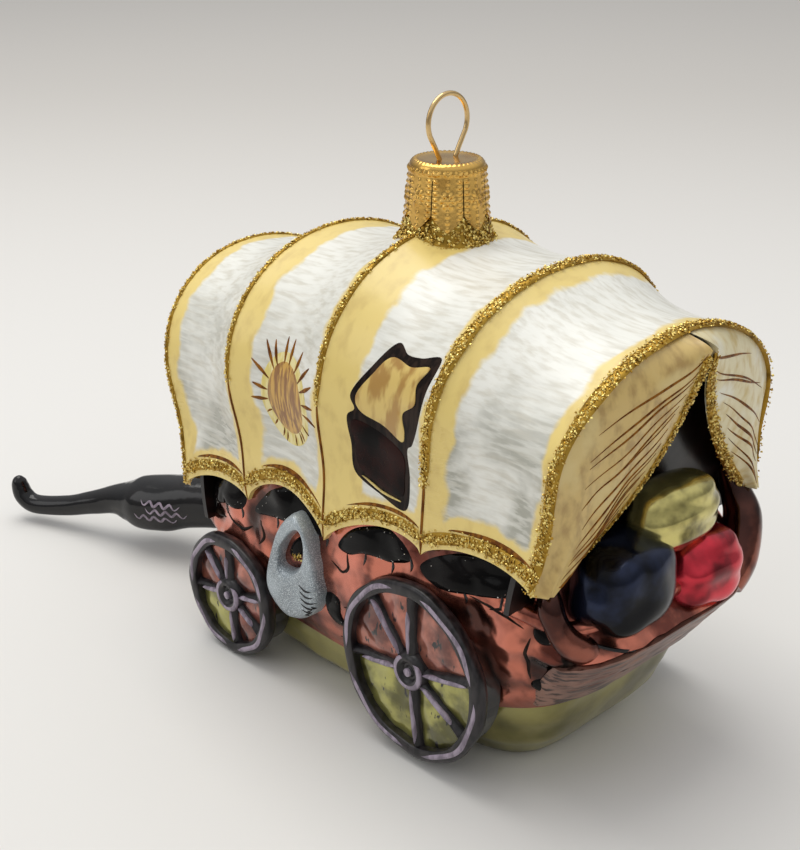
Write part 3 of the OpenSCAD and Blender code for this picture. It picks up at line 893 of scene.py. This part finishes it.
def makeTailgate():
    front, back = [], []
    shares = np.linspace(tailgate["low"], tailgate["high"], 44)
    phis = np.radians(np.linspace(-tailgate["spread"], tailgate["spread"], 110))
    for share in shares:
        t = (share - shares[0]) / (shares[-1] - shares[0]) * tailgate["rows"]
        line = bedPoint(phis, share)
        seam = math.exp(-((t - round(t)) / 0.07) ** 2)
        bumps = np.array([lumps(p, 3.5, 40) * 0.25 + lumps(p * np.array([1, 0.3, 2]), 1.2, 51) * 0.12 for p in line])
        front.append(line + np.outer(tailgate["lift"] - tailgate["groove"] * seam + bumps, [1, 0, 0]))
        back.append(line - [0.8, 0, 0])
    parts = heap()
    addSheet(parts, front, back)
    makePiece("tailgateBoards", parts, "board", replaces=("tailgate",), crease=50)
    hits = [castRear(bedTree, y, z) for y, z in catmull(tailgate["line"], 8)]
    addRibbon(lines["black"], *zip(*hits), 0.8, 0.25, 0.3)


makeTailgate()
print("tailgate made")

# The gathered canvas at both ends, with brown pleat lines and a glitter hem.
curtain = {
    "inset": 0.45, "thick": 1.0, "bulge": 2.2, "fold": 0.28, "peak": 5.4,  # peak: how far the gathers' top stands out
    "hemTop": 2.0, "hemPower": {-1: 3.4, 1: 1.45}, "pleats": {-1: 13, 1: 9}}


def curtainPoint(end, side, h, r, off=0.0):
    h, r = np.broadcast_arrays(np.asarray(h, float), np.asarray(r, float))
    row = canopy["bows"][end]
    ahead = -1 if end == 0 else 1
    rim = arch(float(end), side * (1 - h * 0.999), curtain["inset"])
    z = row[5] + 0.3 + (row[6] - row[5] - curtain["hemTop"]) * h
    hemY = side * (0.7 + (row[3] - canopy["wall"] - 3.2) * (1 - h) ** curtain["hemPower"][side])
    x = row[0] + row[1] * (z - row[5]) / (row[6] - row[5]) + ahead * curtain["peak"] * h ** 1.7
    hem = np.stack([x, hemY, z], -1)
    p = rim + (hem - rim) * r[..., None]
    fold = curtain["fold"] * np.sin(r * 17 + h * 5) * (1 - h) * np.sin(math.pi * r)
    p[..., 0] += ahead * (curtain["bulge"] * np.sin(math.pi * r) * (1 - 0.5 * h) - fold - off)
    return p


def curtainNormal(end, side, h, r):
    e = 0.01
    up = curtainPoint(end, side, np.clip(h + e, 0, 1), r) - curtainPoint(end, side, np.clip(h - e, 0, 1), r)
    across = curtainPoint(end, side, h, np.clip(r + e, 0, 1)) - curtainPoint(end, side, h, np.clip(r - e, 0, 1))
    out = unit(np.cross(up, across))
    return out * np.sign(out[..., :1]) * (-1 if end == 0 else 1)


def makeCurtain(end, side, name, node, finish):
    h, r = np.meshgrid(np.linspace(0, 0.995, 60), np.linspace(0, 1, 40), indexing="ij")
    parts = heap()
    addSheet(parts, curtainPoint(end, side, h, r), curtainPoint(end, side, h, r, curtain["thick"]))
    makePiece(name, parts, finish, replaces=(node,), crease=60)
    h = np.linspace(0.02, 0.97, 90)
    r = np.full_like(h, 0.985)
    glitterBand(curtainPoint(end, side, h, r), curtainNormal(end, side, h, r), 1.9, 0.3, 0.05)
    count = curtain["pleats"][side]
    for k in range(count):
        top = 0.95 - 0.058 * k * 13 / count + 0.02 * draw.uniform(-1, 1)
        t = np.linspace(0, 1, 34)
        h = np.clip(top - (0.34 + 0.08 * draw.uniform(-1, 1)) * t, 0.03, 0.99)
        r = 0.86 - (0.7 - 0.03 * k) * t ** 1.1 + 0.02 * np.sin(t * 7 + k)
        width = 0.34 + 0.3 * draw.uniform(0, 1)
        addRibbon(lines["brown"], curtainPoint(end, side, h, r), curtainNormal(end, side, h, r), width, 0.16, 0.5)


for end, where in ((4, "rear"), (0, "front")):
    for side, hand in ((-1, "Left"), (1, "Right")):
        makeCurtain(end, side, where + "Curtain" + hand, where + "_curtain_" + hand.lower(), "curtain" + hand)


def makeLining(end, name, node):
    row = canopy["bows"][end]
    ahead = -1 if end == 0 else 1
    h, y = np.meshgrid(np.linspace(0, 1, 30), np.linspace(-1, 1, 30), indexing="ij")
    z = row[5] - 5 + (row[6] - row[5] - 1) * h
    x = row[0] + row[1] * (z - row[5]) / (row[6] - row[5]) - ahead * 3.9
    wave = np.array([[noise.noise(Vector((a * 3, b * 4, end))) for a, b in zip(p, q)] for p, q in zip(h, y)]) * 0.5
    wide = (row[3] - 3.4) * (1 - h ** 2.2) + 3
    front = np.stack([x + ahead * wave, y * wide, z], -1)
    parts = heap()
    addSheet(parts, front, front - [ahead * 1.0, 0, 0])
    makePiece(name, parts, "inside", replaces=(node,), crease=60)


makeLining(4, "rearLiningDark", "rear_lining")
makeLining(0, "frontLiningDark", "front_lining")
print("ends closed")

# The three bundles in the rear opening.
bundles = {
    "greenRoll": {"at": (46.6, 2.6, 45.0), "r": (5.2, 9.2, 6.0), "boxy": 0.85, "finish": "olive",
                  "slot": "green_lacquer", "node": "green_roll", "ridge": 0.22, "count": 0.7, "lump": 0.35},
    "blueSack": {"at": (46.6, -9.6, 37.4), "r": (6.8, 8.8, 7.8), "boxy": 0.8, "finish": "navy", "slot": "blue_lacquer",
                 "node": "blue_sack", "ridge": 0.0, "count": 0.0, "lump": 0.8},
    "redRoll": {"at": (46.8, 9.4, 33.4), "r": (6.4, 8.4, 6.6), "boxy": 0.8, "finish": "red", "slot": "red_lacquer",
                "node": "red_roll", "ridge": 0.26, "count": 0.5, "lump": 0.6}}


def makeBundle(name, b):
    rings = []
    for v in np.linspace(-math.pi / 2 + 0.02, math.pi / 2 - 0.02, 60):
        phi = around(110)
        x = power(np.cos(phi), b["boxy"]) * power(np.cos(v), b["boxy"])
        z = power(np.sin(phi), b["boxy"]) * power(np.cos(v), b["boxy"])
        y = np.full_like(x, power(np.sin(v), b["boxy"]))
        p = np.stack([x, y, z], -1) * b["r"]
        bend = np.array([lumps(q, 5.0, b["at"][1]) * b["lump"] for q in p])
        ridge = b["ridge"] * np.sin((p[:, 2] + 0.4 * np.sin(p[:, 1] * 0.5)) * 2.6 * b["count"]) * math.cos(v)
        rings.append(p * (1 + (bend + ridge) / 8)[:, None] + b["at"])
    parts = heap()
    addRings(parts, rings)
    makePiece(name, parts, b["finish"], replaces=(b["node"],), crease=70)


for name, b in bundles.items():
    makeBundle(name, b)


# The copper lip under the bundles and the ends of the side walls beside them, with painted shade deepening towards the
# top.
wallEnds = [  # x, y, z and radius
    [(41.5, 23.8, 44.5, 1.4), (43.8, 25, 39.4, 2.5), (45.6, 24.6, 35.6, 3.5), (47.2, 21.8, 30.6, 3.2),
     (48, 17.8, 26.6, 2.5)],
    [(42.4, -21.4, 39, 1.3), (43.8, -22, 35.4, 2.0), (45.4, -20.6, 31.4, 2.4), (47, -17, 28, 2.2)]]


def makeLip():
    parts = heap()
    phis = np.radians(np.linspace(-58, 58, 90))
    line = bedPoint(phis, 0.62)
    addBar(parts, line + [0.1, 0, 0.4], 1.5 + 0.25 * np.sin(np.linspace(0, 15, 90)), 16, (0, 0.001, 1))
    makePiece("rearLip", parts, "copper", crease=70,
              extra={"hollow": np.zeros(parts["count"])})


def makeWallEnds():
    parts = heap()
    for run in wallEnds:
        line = catmull(run, 12)
        addBar(parts, line[:, :3], line[:, 3] + 0.25 * np.sin(np.linspace(0, 9, len(line))), 26, (1, 0, 0.1))
    # Painted shade: the wall ends are painted darker higher up, under the curtains.
    dark = np.interp(np.concatenate(parts["points"])[:, 2], [26, 40], [0.35, 0.95])
    makePiece("rearWallEnds", parts, "copper", crease=70, extra={"hollow": dark})


makeLip()
makeWallEnds()
print("bundles made")

# The four moulded wheels.
wheels = {
    "rear": {"x": 19.6, "z": 17.1, "r": 16.0, "leafGaps": (1, 2, 3)},
    "front": {"x": -27.6, "z": 12.0, "r": 12.0, "leafGaps": (3,)},
    "face": 28.2, "back": 22.0, "rim": 2.3, "spokes": np.radians([0, 76, 121, 172, 262, 317]), "spokeWidth": 2.0,
    "hub": 3.1,
    "rimProfile": [(-0.2, -2.4), (-0.2, -0.7), (-0.12, -0.15), (0.46, 0), (1.15, 0), (1.794, -0.25), (2.07, -0.8),
                   (1.978, -2), (1.15, -2.8), (0, -3)],  # out from the rim's inner edge, and out from the face
    "hubProfile": [(1.86, -4), (3.6, -4), (3.5, -1.4), (3.2, -0.5), (2.7, 0), (2.2, 0.1), (1.8, -0.15), (1.4, -0.7),
                   (1, -0.7), (0.7, -0.3), (0.155, -0.2)],
    "hubDot": [(0.05, -0.6), (0.75, -0.6), (0.7, 0.02), (0.4, 0.12), (0.05, 0.14)],
    "strokes": [(0.2, 1.3), (1.5, 2.9), (3.2, 4.3), (4.6, 6.05)]}  # the lilac strokes on the rim, in radians


def wheelPoint(w, side, radius, angle, level):  # angle 0 points up and runs towards the rear
    return np.stack([w["x"] + radius * np.sin(angle), side * (level + 0 * angle), w["z"] + radius * np.cos(angle)], -1)


def makeWheel(end, side):
    w = wheels[end]
    r, face, rim, hub = w["r"], wheels["face"], wheels["rim"], wheels["hub"]
    flat = lambda n: np.tile([0, side, 0], (n, 1))
    hand = "Left" if side < 0 else "Right"
    name = end.capitalize() + hand
    turn = around(144)
    spokes = wheels["spokes"]
    gap = np.searchsorted(spokes, turn, side="right") - 1
    opening = np.diff(np.append(spokes, 2 * math.pi))[gap]
    # web: dished between the spokes
    rings, leaf, edge = [], [], []
    inner = r - rim * 0.6
    between = np.sin((turn - spokes[gap]) / opening * math.pi) * np.minimum(opening / 1.05, 1)
    front = [(inner * t, False) for t in np.linspace(0.1, 1, 22)]
    for q, isBack in front + [(inner, True), (inner * 0.1, True)]:
        pillow = 0.95 * between ** 0.8 * math.sin(math.pi * min(max((q / inner - 0.2) / 0.8, 0), 1)) ** 0.6
        ripple = np.array([lumps((q * math.sin(a), q * math.cos(a), 0), 2.6, w["x"]) * 0.35 for a in turn])
        level = np.full_like(turn, wheels["back"]) if isBack else face - 1.9 + pillow + ripple
        rings.append(wheelPoint(w, side, q, turn, level))
        leaf.append(np.isin(gap, w["leafGaps"]).astype(float))
        edge.append(np.clip(1.25 - between * 3.2, 0, 1) * (q > inner * 0.12) + np.clip((q / inner - 0.9) * 10, 0, 1))
    parts = heap()
    addRings(parts, rings)
    ends = [0.0, 0.0]
    makePiece("web" + name, parts, "web", crease=60,
              extra={"leaf": np.concatenate(leaf + [ends]), "edge": np.clip(np.concatenate(edge + [ends]), 0, 1)})
    # rim, spokes and hub
    parts = heap()
    wob = 0.12 * np.sin(turn * 5 + w["x"]) + 0.08 * np.sin(turn * 11)
    section = catmull([(r - rim + a, face + b) for a, b in wheels["rimProfile"]], 3, closed=True)
    addRings(parts, [wheelPoint(w, side, q + wob, turn, lev) for q, lev in section], loop=True)
    for k, a in enumerate(spokes):
        along = np.linspace(hub - 1.2, r - rim + 0.7, 26)
        t = np.linspace(0, 1, 26)
        bend = np.outer(0.25 * np.sin(t * 6 + k), [math.cos(a), 0, -math.sin(a)])
        centre = wheelPoint(w, side, along, np.full(26, a), face - 1.5) + bend
        addRibbon(parts, centre, flat(26), wheels["spokeWidth"] * (0.8 + 0.45 * (2 * t - 1) ** 2), 1.25, 0.02, 1.2, 12)
    addRings(parts, [wheelPoint(w, side, q, turn, face + lift) for q, lift in wheels["hubProfile"]])
    makePiece("wheel" + name, parts, "wheelBlack",
              replaces=("wheel_%s_%s" % (end, hand.lower()),), crease=45)
    # lilac brush strokes
    parts = heap()
    for a, b in wheels["strokes"]:
        t = np.linspace(a, b, 50)
        stroke = wheelPoint(w, side, r - rim * 0.62 + 0.15 * np.sin(t * 9), t, face - 0.02)
        addRibbon(parts, stroke, flat(50), 1.15, 0.22, 0.12, 0.3)
    for k, a in enumerate(spokes):
        a = a + (0.02 if k % 2 else -0.03)
        along = np.linspace(hub + 0.2, (r - rim) * (0.95 if k % 2 else 0.8), 20)
        addRibbon(parts, wheelPoint(w, side, along, np.full(20, a), face - 0.3), flat(20), 0.95, 0.24, 0.2, 0.4)
    addRibbon(parts, wheelPoint(w, side, hub - 0.55, np.linspace(0.6, 5.9, 60), face), flat(60), 1.25, 0.2, 0.1, 0.3)
    addRings(parts, [wheelPoint(w, side, q, turn, face + lift) for q, lift in wheels["hubDot"]])
    makePiece("lilac" + name, parts, "lilac", crease=60)


for end in ("rear", "front"):
    for side in (-1, 1):
        makeWheel(end, side)
print("wheels made")

# The stone jug on each side, with its slanting handle hole.
jug = {
    "outline": [(-16.3, 19.7), (-15, 16.2), (-10.4, 14.2), (-5.4, 16.6), (-2.8, 21.2), (-3.3, 26), (-4.3, 30.2),
                (-5.9, 33.6), (-8.7, 35.1), (-12, 31.9), (-14.2, 27.4)],
    "hole": [(-12.6, 24.4), (-10.2, 23.6), (-6.8, 26.2), (-5.1, 30.6), (-5.9, 32.8), (-8.4, 32), (-11.4, 28.6)],
    "face": 28.3, "back": 24.2, "dome": 1.6}


def makeJug(side, name, node):
    n = 120
    outline = catmull(jug["outline"], 12, closed=True)
    hole = catmull(jug["hole"], 12, closed=True)

    def even(line, start):
        line = np.roll(line, -int(np.argmin(np.linalg.norm(line - start, axis=1))), axis=0)
        line = np.concatenate([line, line[:1]])
        travel = np.concatenate([[0], np.cumsum(np.linalg.norm(np.diff(line, axis=0), axis=1))])
        t = np.linspace(0, travel[-1], n, endpoint=False)
        return np.stack([np.interp(t, travel, line[:, k]) for k in (0, 1)], 1)

    if np.sign(area(outline)) != np.sign(area(hole)):
        hole = hole[::-1]
    outline, hole = even(outline, (-8.7, 35.1)), even(hole, (-6.1, 31.6))
    rings = []
    for t, level in [(0, jug["back"])] + [(t, None) for t in np.linspace(0, 1, 18)] + [(1, jug["back"])]:
        flat = outline + (hole - outline) * t
        y = level if level else jug["face"] - jug["dome"] + jug["dome"] * max(1 - (2 * t - 1) ** 4, 0) ** 0.5
        rings.append(np.stack([flat[:, 0], np.full(n, side * y), flat[:, 1]], -1))
    parts = heap()
    addRings(parts, rings, loop=True)
    piece = makePiece(name, parts, "jug", replaces=(node,), crease=55)
    tree = treeOf(piece)
    for k in range(6):
        x, z = -6.6 + 0.12 * k, 22.6 - 1.15 * k
        sideLine(lines["black"], tree, [(x, z), (x + 1.5, z - 0.55), (x + 3.0, z - 0.3)], side, 0.62, 0.2, 0.6, 6)
    cast = sideCast(bedTree, side)
    addPatch(daubs["black"], [(x * 0.5 - 5, z * 0.5 + 14) for x, z in jug["hole"]], cast, 0.4, 4, 0.5, 4)
    hits = [castSide(bedTree, -9.6 + draw.uniform(-1, 1), 26.4 + draw.uniform(-1, 1), side) for _ in range(46)]
    addFlakes(glitter["flakes"], glitter["tones"], [h[0] + 0.25 * h[1] for h in hits], [h[1] for h in hits])


def area(line):
    return float(np.sum(line[:, 0] * np.roll(line[:, 1], -1) - line[:, 1] * np.roll(line[:, 0], -1)))


makeJug(-1, "jugLeft", "jug_left")
makeJug(1, "jugRight", "jug_right")
print("jugs made")

# The black tongue, drawn out of the front wall and curled up at its tip.
tongue = {"line": [  # x, y, z and radius
    (-41, 1, 15.6, 6.2), (-44.6, 0, 15, 6), (-55, -4.5, 13.4, 5.6), (-64, -8.4, 12, 5.6), (-70.6, -11.3, 10.1, 6),
    (-75, -13.2, 9.4, 5.8), (-78.2, -14.6, 9.1, 4.4), (-81.6, -16.1, 8.7, 3.2), (-86.7, -18.4, 7, 2.5),
    (-92.7, -21, 5.1, 2.2), (-98.1, -23.4, 4.1, 2.1), (-101.6, -24.9, 4, 2.1), (-103.6, -25.7, 5.4, 2.1),
    (-104.3, -26, 7.4, 1.9), (-104.4, -26.1, 8.9, 1.5), (-104.4, -26.1, 9.7, 0.8), (-104.4, -26.1, 10, 0.2)]}


def makeTongue():
    line = catmull(tongue["line"], 8)
    parts = heap()
    addBar(parts, line[:, :3], line[:, 3].clip(0.15), 40)
    for points in parts["points"]:
        shift = np.array([lumps(p, 6, 5) for p in points]) * 0.35
        fade = np.clip((-points[:, 0] - 40) / 10, 0, 1) * np.clip((104 + points[:, 0]) / 20, 0, 1)
        points[:, 2] += shift * fade
    piece = makePiece("tongueBlack", parts, "black", replaces=("tongue",), crease=60)
    tree = treeOf(piece)
    for dz, start in ((1.2, -62), (-0.4, -60.5), (-2.0, -63)):
        run = [(start - 1.1 * k, 11.2 + dz + 0.5 * (-1) ** k) for k in range(9)]
        hits = [castSide(tree, x, z, -1) for x, z in catmull(run, 5)]
        addRibbon(smear, *zip(*hits), 0.7, 0.12, 0.3)


smear = heap()
makeTongue()
makePiece("tongueSmear", smear, "lilac")
print("tongue made")

# The glass neck with its glitter collar, the pressed cap and the wire loop.
neck = {"r": 5.4, "top": 91.8, "flakes": 2300,
        "collar": [(78.0, 9.2), (79.4, 8.3), (81, 7.3), (82.8, 6.7), (84.6, 6.1), (86.4, 5.5)]}  # height and radius
cap = {"top": 92.8, "topR": 6.2, "tipR": 7.2, "tip": 82.2, "prongs": 8, "sheet": 0.3, "slit": 0.1,
       "crown": [(0.2, -0.35, 0), (5.3, -0.35, 0), (5.85, -1.2, 0), (5.9, -1.6, 0), (6.22, -1.6, 0), (6.23, -1.1, 0),
                 (6.12, -0.6, 0), (5.85, -0.25, 0), (5.45, -0.03, 1), (5.1, 0.02, 1), (4.7, -0.08, 0), (3.6, -0.14, 0),
                 (2.4, -0.1, 0), (0.2, -0.05, 0)]}  # radius, height from the top, and 1 where it is beaded
loop = {"r": 4.45, "wire": 0.42, "rise": 5.8, "holeY": 2.0, "foot": (3.6, 77.8)}


def makeNeck():
    turn = around(90)
    collar = [(r, z) for z, r in neck["collar"]]
    profile = catmull([(9.6, 76.6)] + collar + [(neck["r"], 88), (neck["r"], neck["top"])], 6)
    parts = heap()
    addRings(parts, [levelRing(r, turn, z) for r, z in profile])
    makePiece("neckCollar", parts, "glitterBed", replaces=("neck",), crease=70)
    heights = np.array([z for z, _ in neck["collar"]])
    radii = np.array([r for _, r in neck["collar"]])
    count = neck["flakes"]
    z = draw.uniform(78.2, 86, count)
    a = draw.uniform(0, 2 * math.pi, count)
    r = np.interp(z, heights, radii) + draw.uniform(0.02, 0.4, count)
    out = np.stack([np.cos(a), np.sin(a), 0.45 + 0 * a], -1)
    addFlakes(glitter["flakes"], glitter["tones"], levelRing(r, a, z), out, 0.6)


def makeCap():
    parts = heap()
    step = 2 * math.pi / cap["prongs"]
    foot, crownZ = cap["tip"], cap["top"] - 0.9
    t, v = np.meshgrid(np.linspace(-1, 1, 41), np.linspace(0, 1, 70), indexing="ij")  # across a prong, tip to crown
    for k in range(cap["prongs"]):
        half = step / 2 - cap["slit"] / cap["tipR"]
        low = foot + 2.5 * np.abs(t) ** 1.4
        z = low + (crownZ - low) * v
        width = np.where(z > crownZ - 1.6, step / 2, half)
        angle = k * step + t * width
        r = cap["tipR"] + (cap["topR"] - cap["tipR"]) * ((z - foot) / (crownZ - foot)).clip(0, 1) ** 0.8
        x = t * step / 2 * 6.7
        beads = np.exp(-((np.abs(x) - 2.1) / 0.34) ** 2) * (0.5 + 0.5 * np.cos(z * 2 * math.pi / 0.95)) ** 2
        centreZ = foot + 5.0
        rho, theta = np.hypot(x, z - centreZ), np.arctan2(z - centreZ, x)
        petals = np.exp(-((rho - 0.9) / 0.42) ** 2) * (0.5 + 0.5 * np.cos(6 * theta)) + np.exp(-(rho / 0.36) ** 2)
        stem = np.exp(-(x / 0.22) ** 2) * ((z < centreZ - 1.5) | (z > centreZ + 1.5)) * (0.55 + 0.45 * np.cos(z * 6))
        rim = np.exp(-((z - crownZ + 0.5) / 0.3) ** 2) * (0.5 + 0.5 * np.cos(angle * 44))
        emboss = 0.36 * np.clip(beads + petals + 0.7 * stem + rim, 0, 1.2)
        addSheet(parts, levelRing(r + emboss, angle, z), levelRing(r - cap["sheet"], angle, z))
    turn = around(176)
    dots = 0.14 * (0.5 + 0.5 * np.cos(turn * 44))
    rings = [levelRing(r, turn, cap["top"] + z + (dots - 0.05) * bead) for r, z, bead in cap["crown"]]
    addRings(parts, rings)
    makePiece("capPressed", parts, "gold", body="cap", replaces=("cap",), crease=50)


def makeWire():
    loopZ = cap["top"] + loop["rise"]
    reach = math.hypot(loop["holeY"], loop["rise"])
    tangent = math.acos(loop["r"] / reach) + math.atan2(loop["holeY"], loop["rise"])
    hole, top = loop["holeY"], cap["top"]
    leg = [(0, *loop["foot"]), (0, hole + 0.4, 86), (0, hole, top - 1), (0, hole, top + 0.3)]
    turn = np.linspace(tangent, 2 * math.pi - tangent, 40)
    bend = [(0, loop["r"] * math.sin(a), loopZ - loop["r"] * math.cos(a)) for a in turn]
    points = catmull(leg + bend + [(x, -y, z) for x, y, z in leg[::-1]], 3)
    parts = heap()
    addBar(parts, points, loop["wire"], 20, (1, 0, 0.001))
    makePiece("hangerLoop", parts, "wire", body="cap", replaces=("hanger_wire",), crease=70)


makeNeck()
makeCap()
makeWire()

# What was gathered up on the way: glitter, painted lines and daubs.
makePiece("glitterBeads", glitter["bed"], "glitterBed", crease=70)
makePiece("glitterFlakes", glitter["flakes"], "goldGlitter", crease=5,
          extra={"tone": np.concatenate(glitter["tones"])})
makePiece("blackSparkles", sparks["mesh"], "sparkle", crease=5,
          extra={"tone": np.concatenate(sparks["tones"])})
for label, mesh, finish, slotName in (
        ("brownLines", lines["brown"], "brown", "canvas"),
        ("charcoalLines", lines["charcoal"], "charcoal", "black_gloss"),
        ("blackLines", lines["black"], "black", "black_gloss"), ("paneEdges", lines["cream"], "cream", "canvas"),
        ("sunWash", daubs["wash"], "wash", "canvas"), ("sunDaubs", daubs["ochre"], "ochre", "canvas"),
        ("windowFrames", daubs["charcoal"], "charcoal", "black_gloss"),
        ("windowFlaps", daubs["flap"], "flap", "canvas"),
        ("windowPanes", daubs["pane"], "pane", "black_gloss"), ("blackDaubs", daubs["black"], "oval", "black_gloss")):
    makePiece(label, mesh, finish, crease=70)
print("glitter flakes:", len(glitter["flakes"]["faces"]) // 8)

# Floor, light and camera.
studio = {"key": 4.7, "fill": 0.9, "horizon": 0.3, "zenith": 0.8, "floor": 6.0}  # watts, sky strengths, metres
view = {"azimuth": 45.92, "elevation": 22.83, "lens": 61.45, "at": (0.16164, -0.1672, 0.14382)}


def makeFloor():
    bpy.ops.mesh.primitive_plane_add(size=studio["floor"], location=(0, 0, 0))
    floor = bpy.context.object
    floor.name = "floor"
    material, tree, shader = newFinish("paleFloor", 0.0, 0.7)
    spot = tree.nodes.new("ShaderNodeSeparateXYZ")
    tree.links.new(place(tree), spot.inputs[0])
    paintedFalloff = maths(tree, "SUBTRACT", spot.outputs[1], spot.outputs[0])  # grows away from the lit corner
    # Painted light: the floor is painted darker away from the lit corner, as the lamp's light falls off.
    coloured(tree, shader, ramp(tree, paintedFalloff, 0.05, 0.9), srgb(224, 222, 218), srgb(200, 196, 190))
    floor.data.materials.append(material)


def makeLight(name, energy, size, at, aim, colour=(1, 1, 1)):
    lamp = bpy.data.lights.new(name, "AREA")
    lamp.energy, lamp.size, lamp.color = energy, size, colour
    holder = bpy.data.objects.new(name, lamp)
    bpy.context.scene.collection.objects.link(holder)
    holder.location = at
    holder.rotation_euler = (Vector(aim) - Vector(at)).to_track_quat("-Z", "Y").to_euler()


makeFloor()
makeLight("overheadSoftbox", studio["key"], 0.7, (-0.3, 0.02, 0.9), (0, 0, 0.03), (1.0, 0.985, 0.95))
makeLight("frontFill", studio["fill"], 0.5, (-0.5, -0.8, 0.5), (0, 0, 0.04))
world = bpy.data.worlds.new("paleRoom")
bpy.context.scene.world = world
world.use_nodes = True
room = world.node_tree
height = room.nodes.new("ShaderNodeSeparateXYZ")
room.links.new(room.nodes.new("ShaderNodeTexCoord").outputs["Generated"], height.inputs[0])
room.nodes["Background"].inputs[0].default_value = (0.97, 0.98, 1.0, 1)
sky = ramp(room, height.outputs[2], 0.0, 0.8, studio["horizon"], studio["zenith"])
feed(room, sky, room.nodes["Background"].inputs[1])

camera = bpy.data.objects.new("camera", bpy.data.cameras.new("camera"))
bpy.context.scene.collection.objects.link(camera)
azimuth, elevation = math.radians(view["azimuth"]), math.radians(view["elevation"])
level = math.cos(elevation)
back = Vector((math.sin(azimuth) * level, -math.cos(azimuth) * level, math.sin(elevation)))
camera.location = view["at"]
camera.rotation_euler = (-back).to_track_quat("-Z", "Y").to_euler()
camera.data.sensor_width = 36
camera.data.lens = view["lens"]
camera.data.clip_start = 0.01
bpy.context.scene.camera = camera
bpy.context.scene.view_settings.view_transform = "Standard"
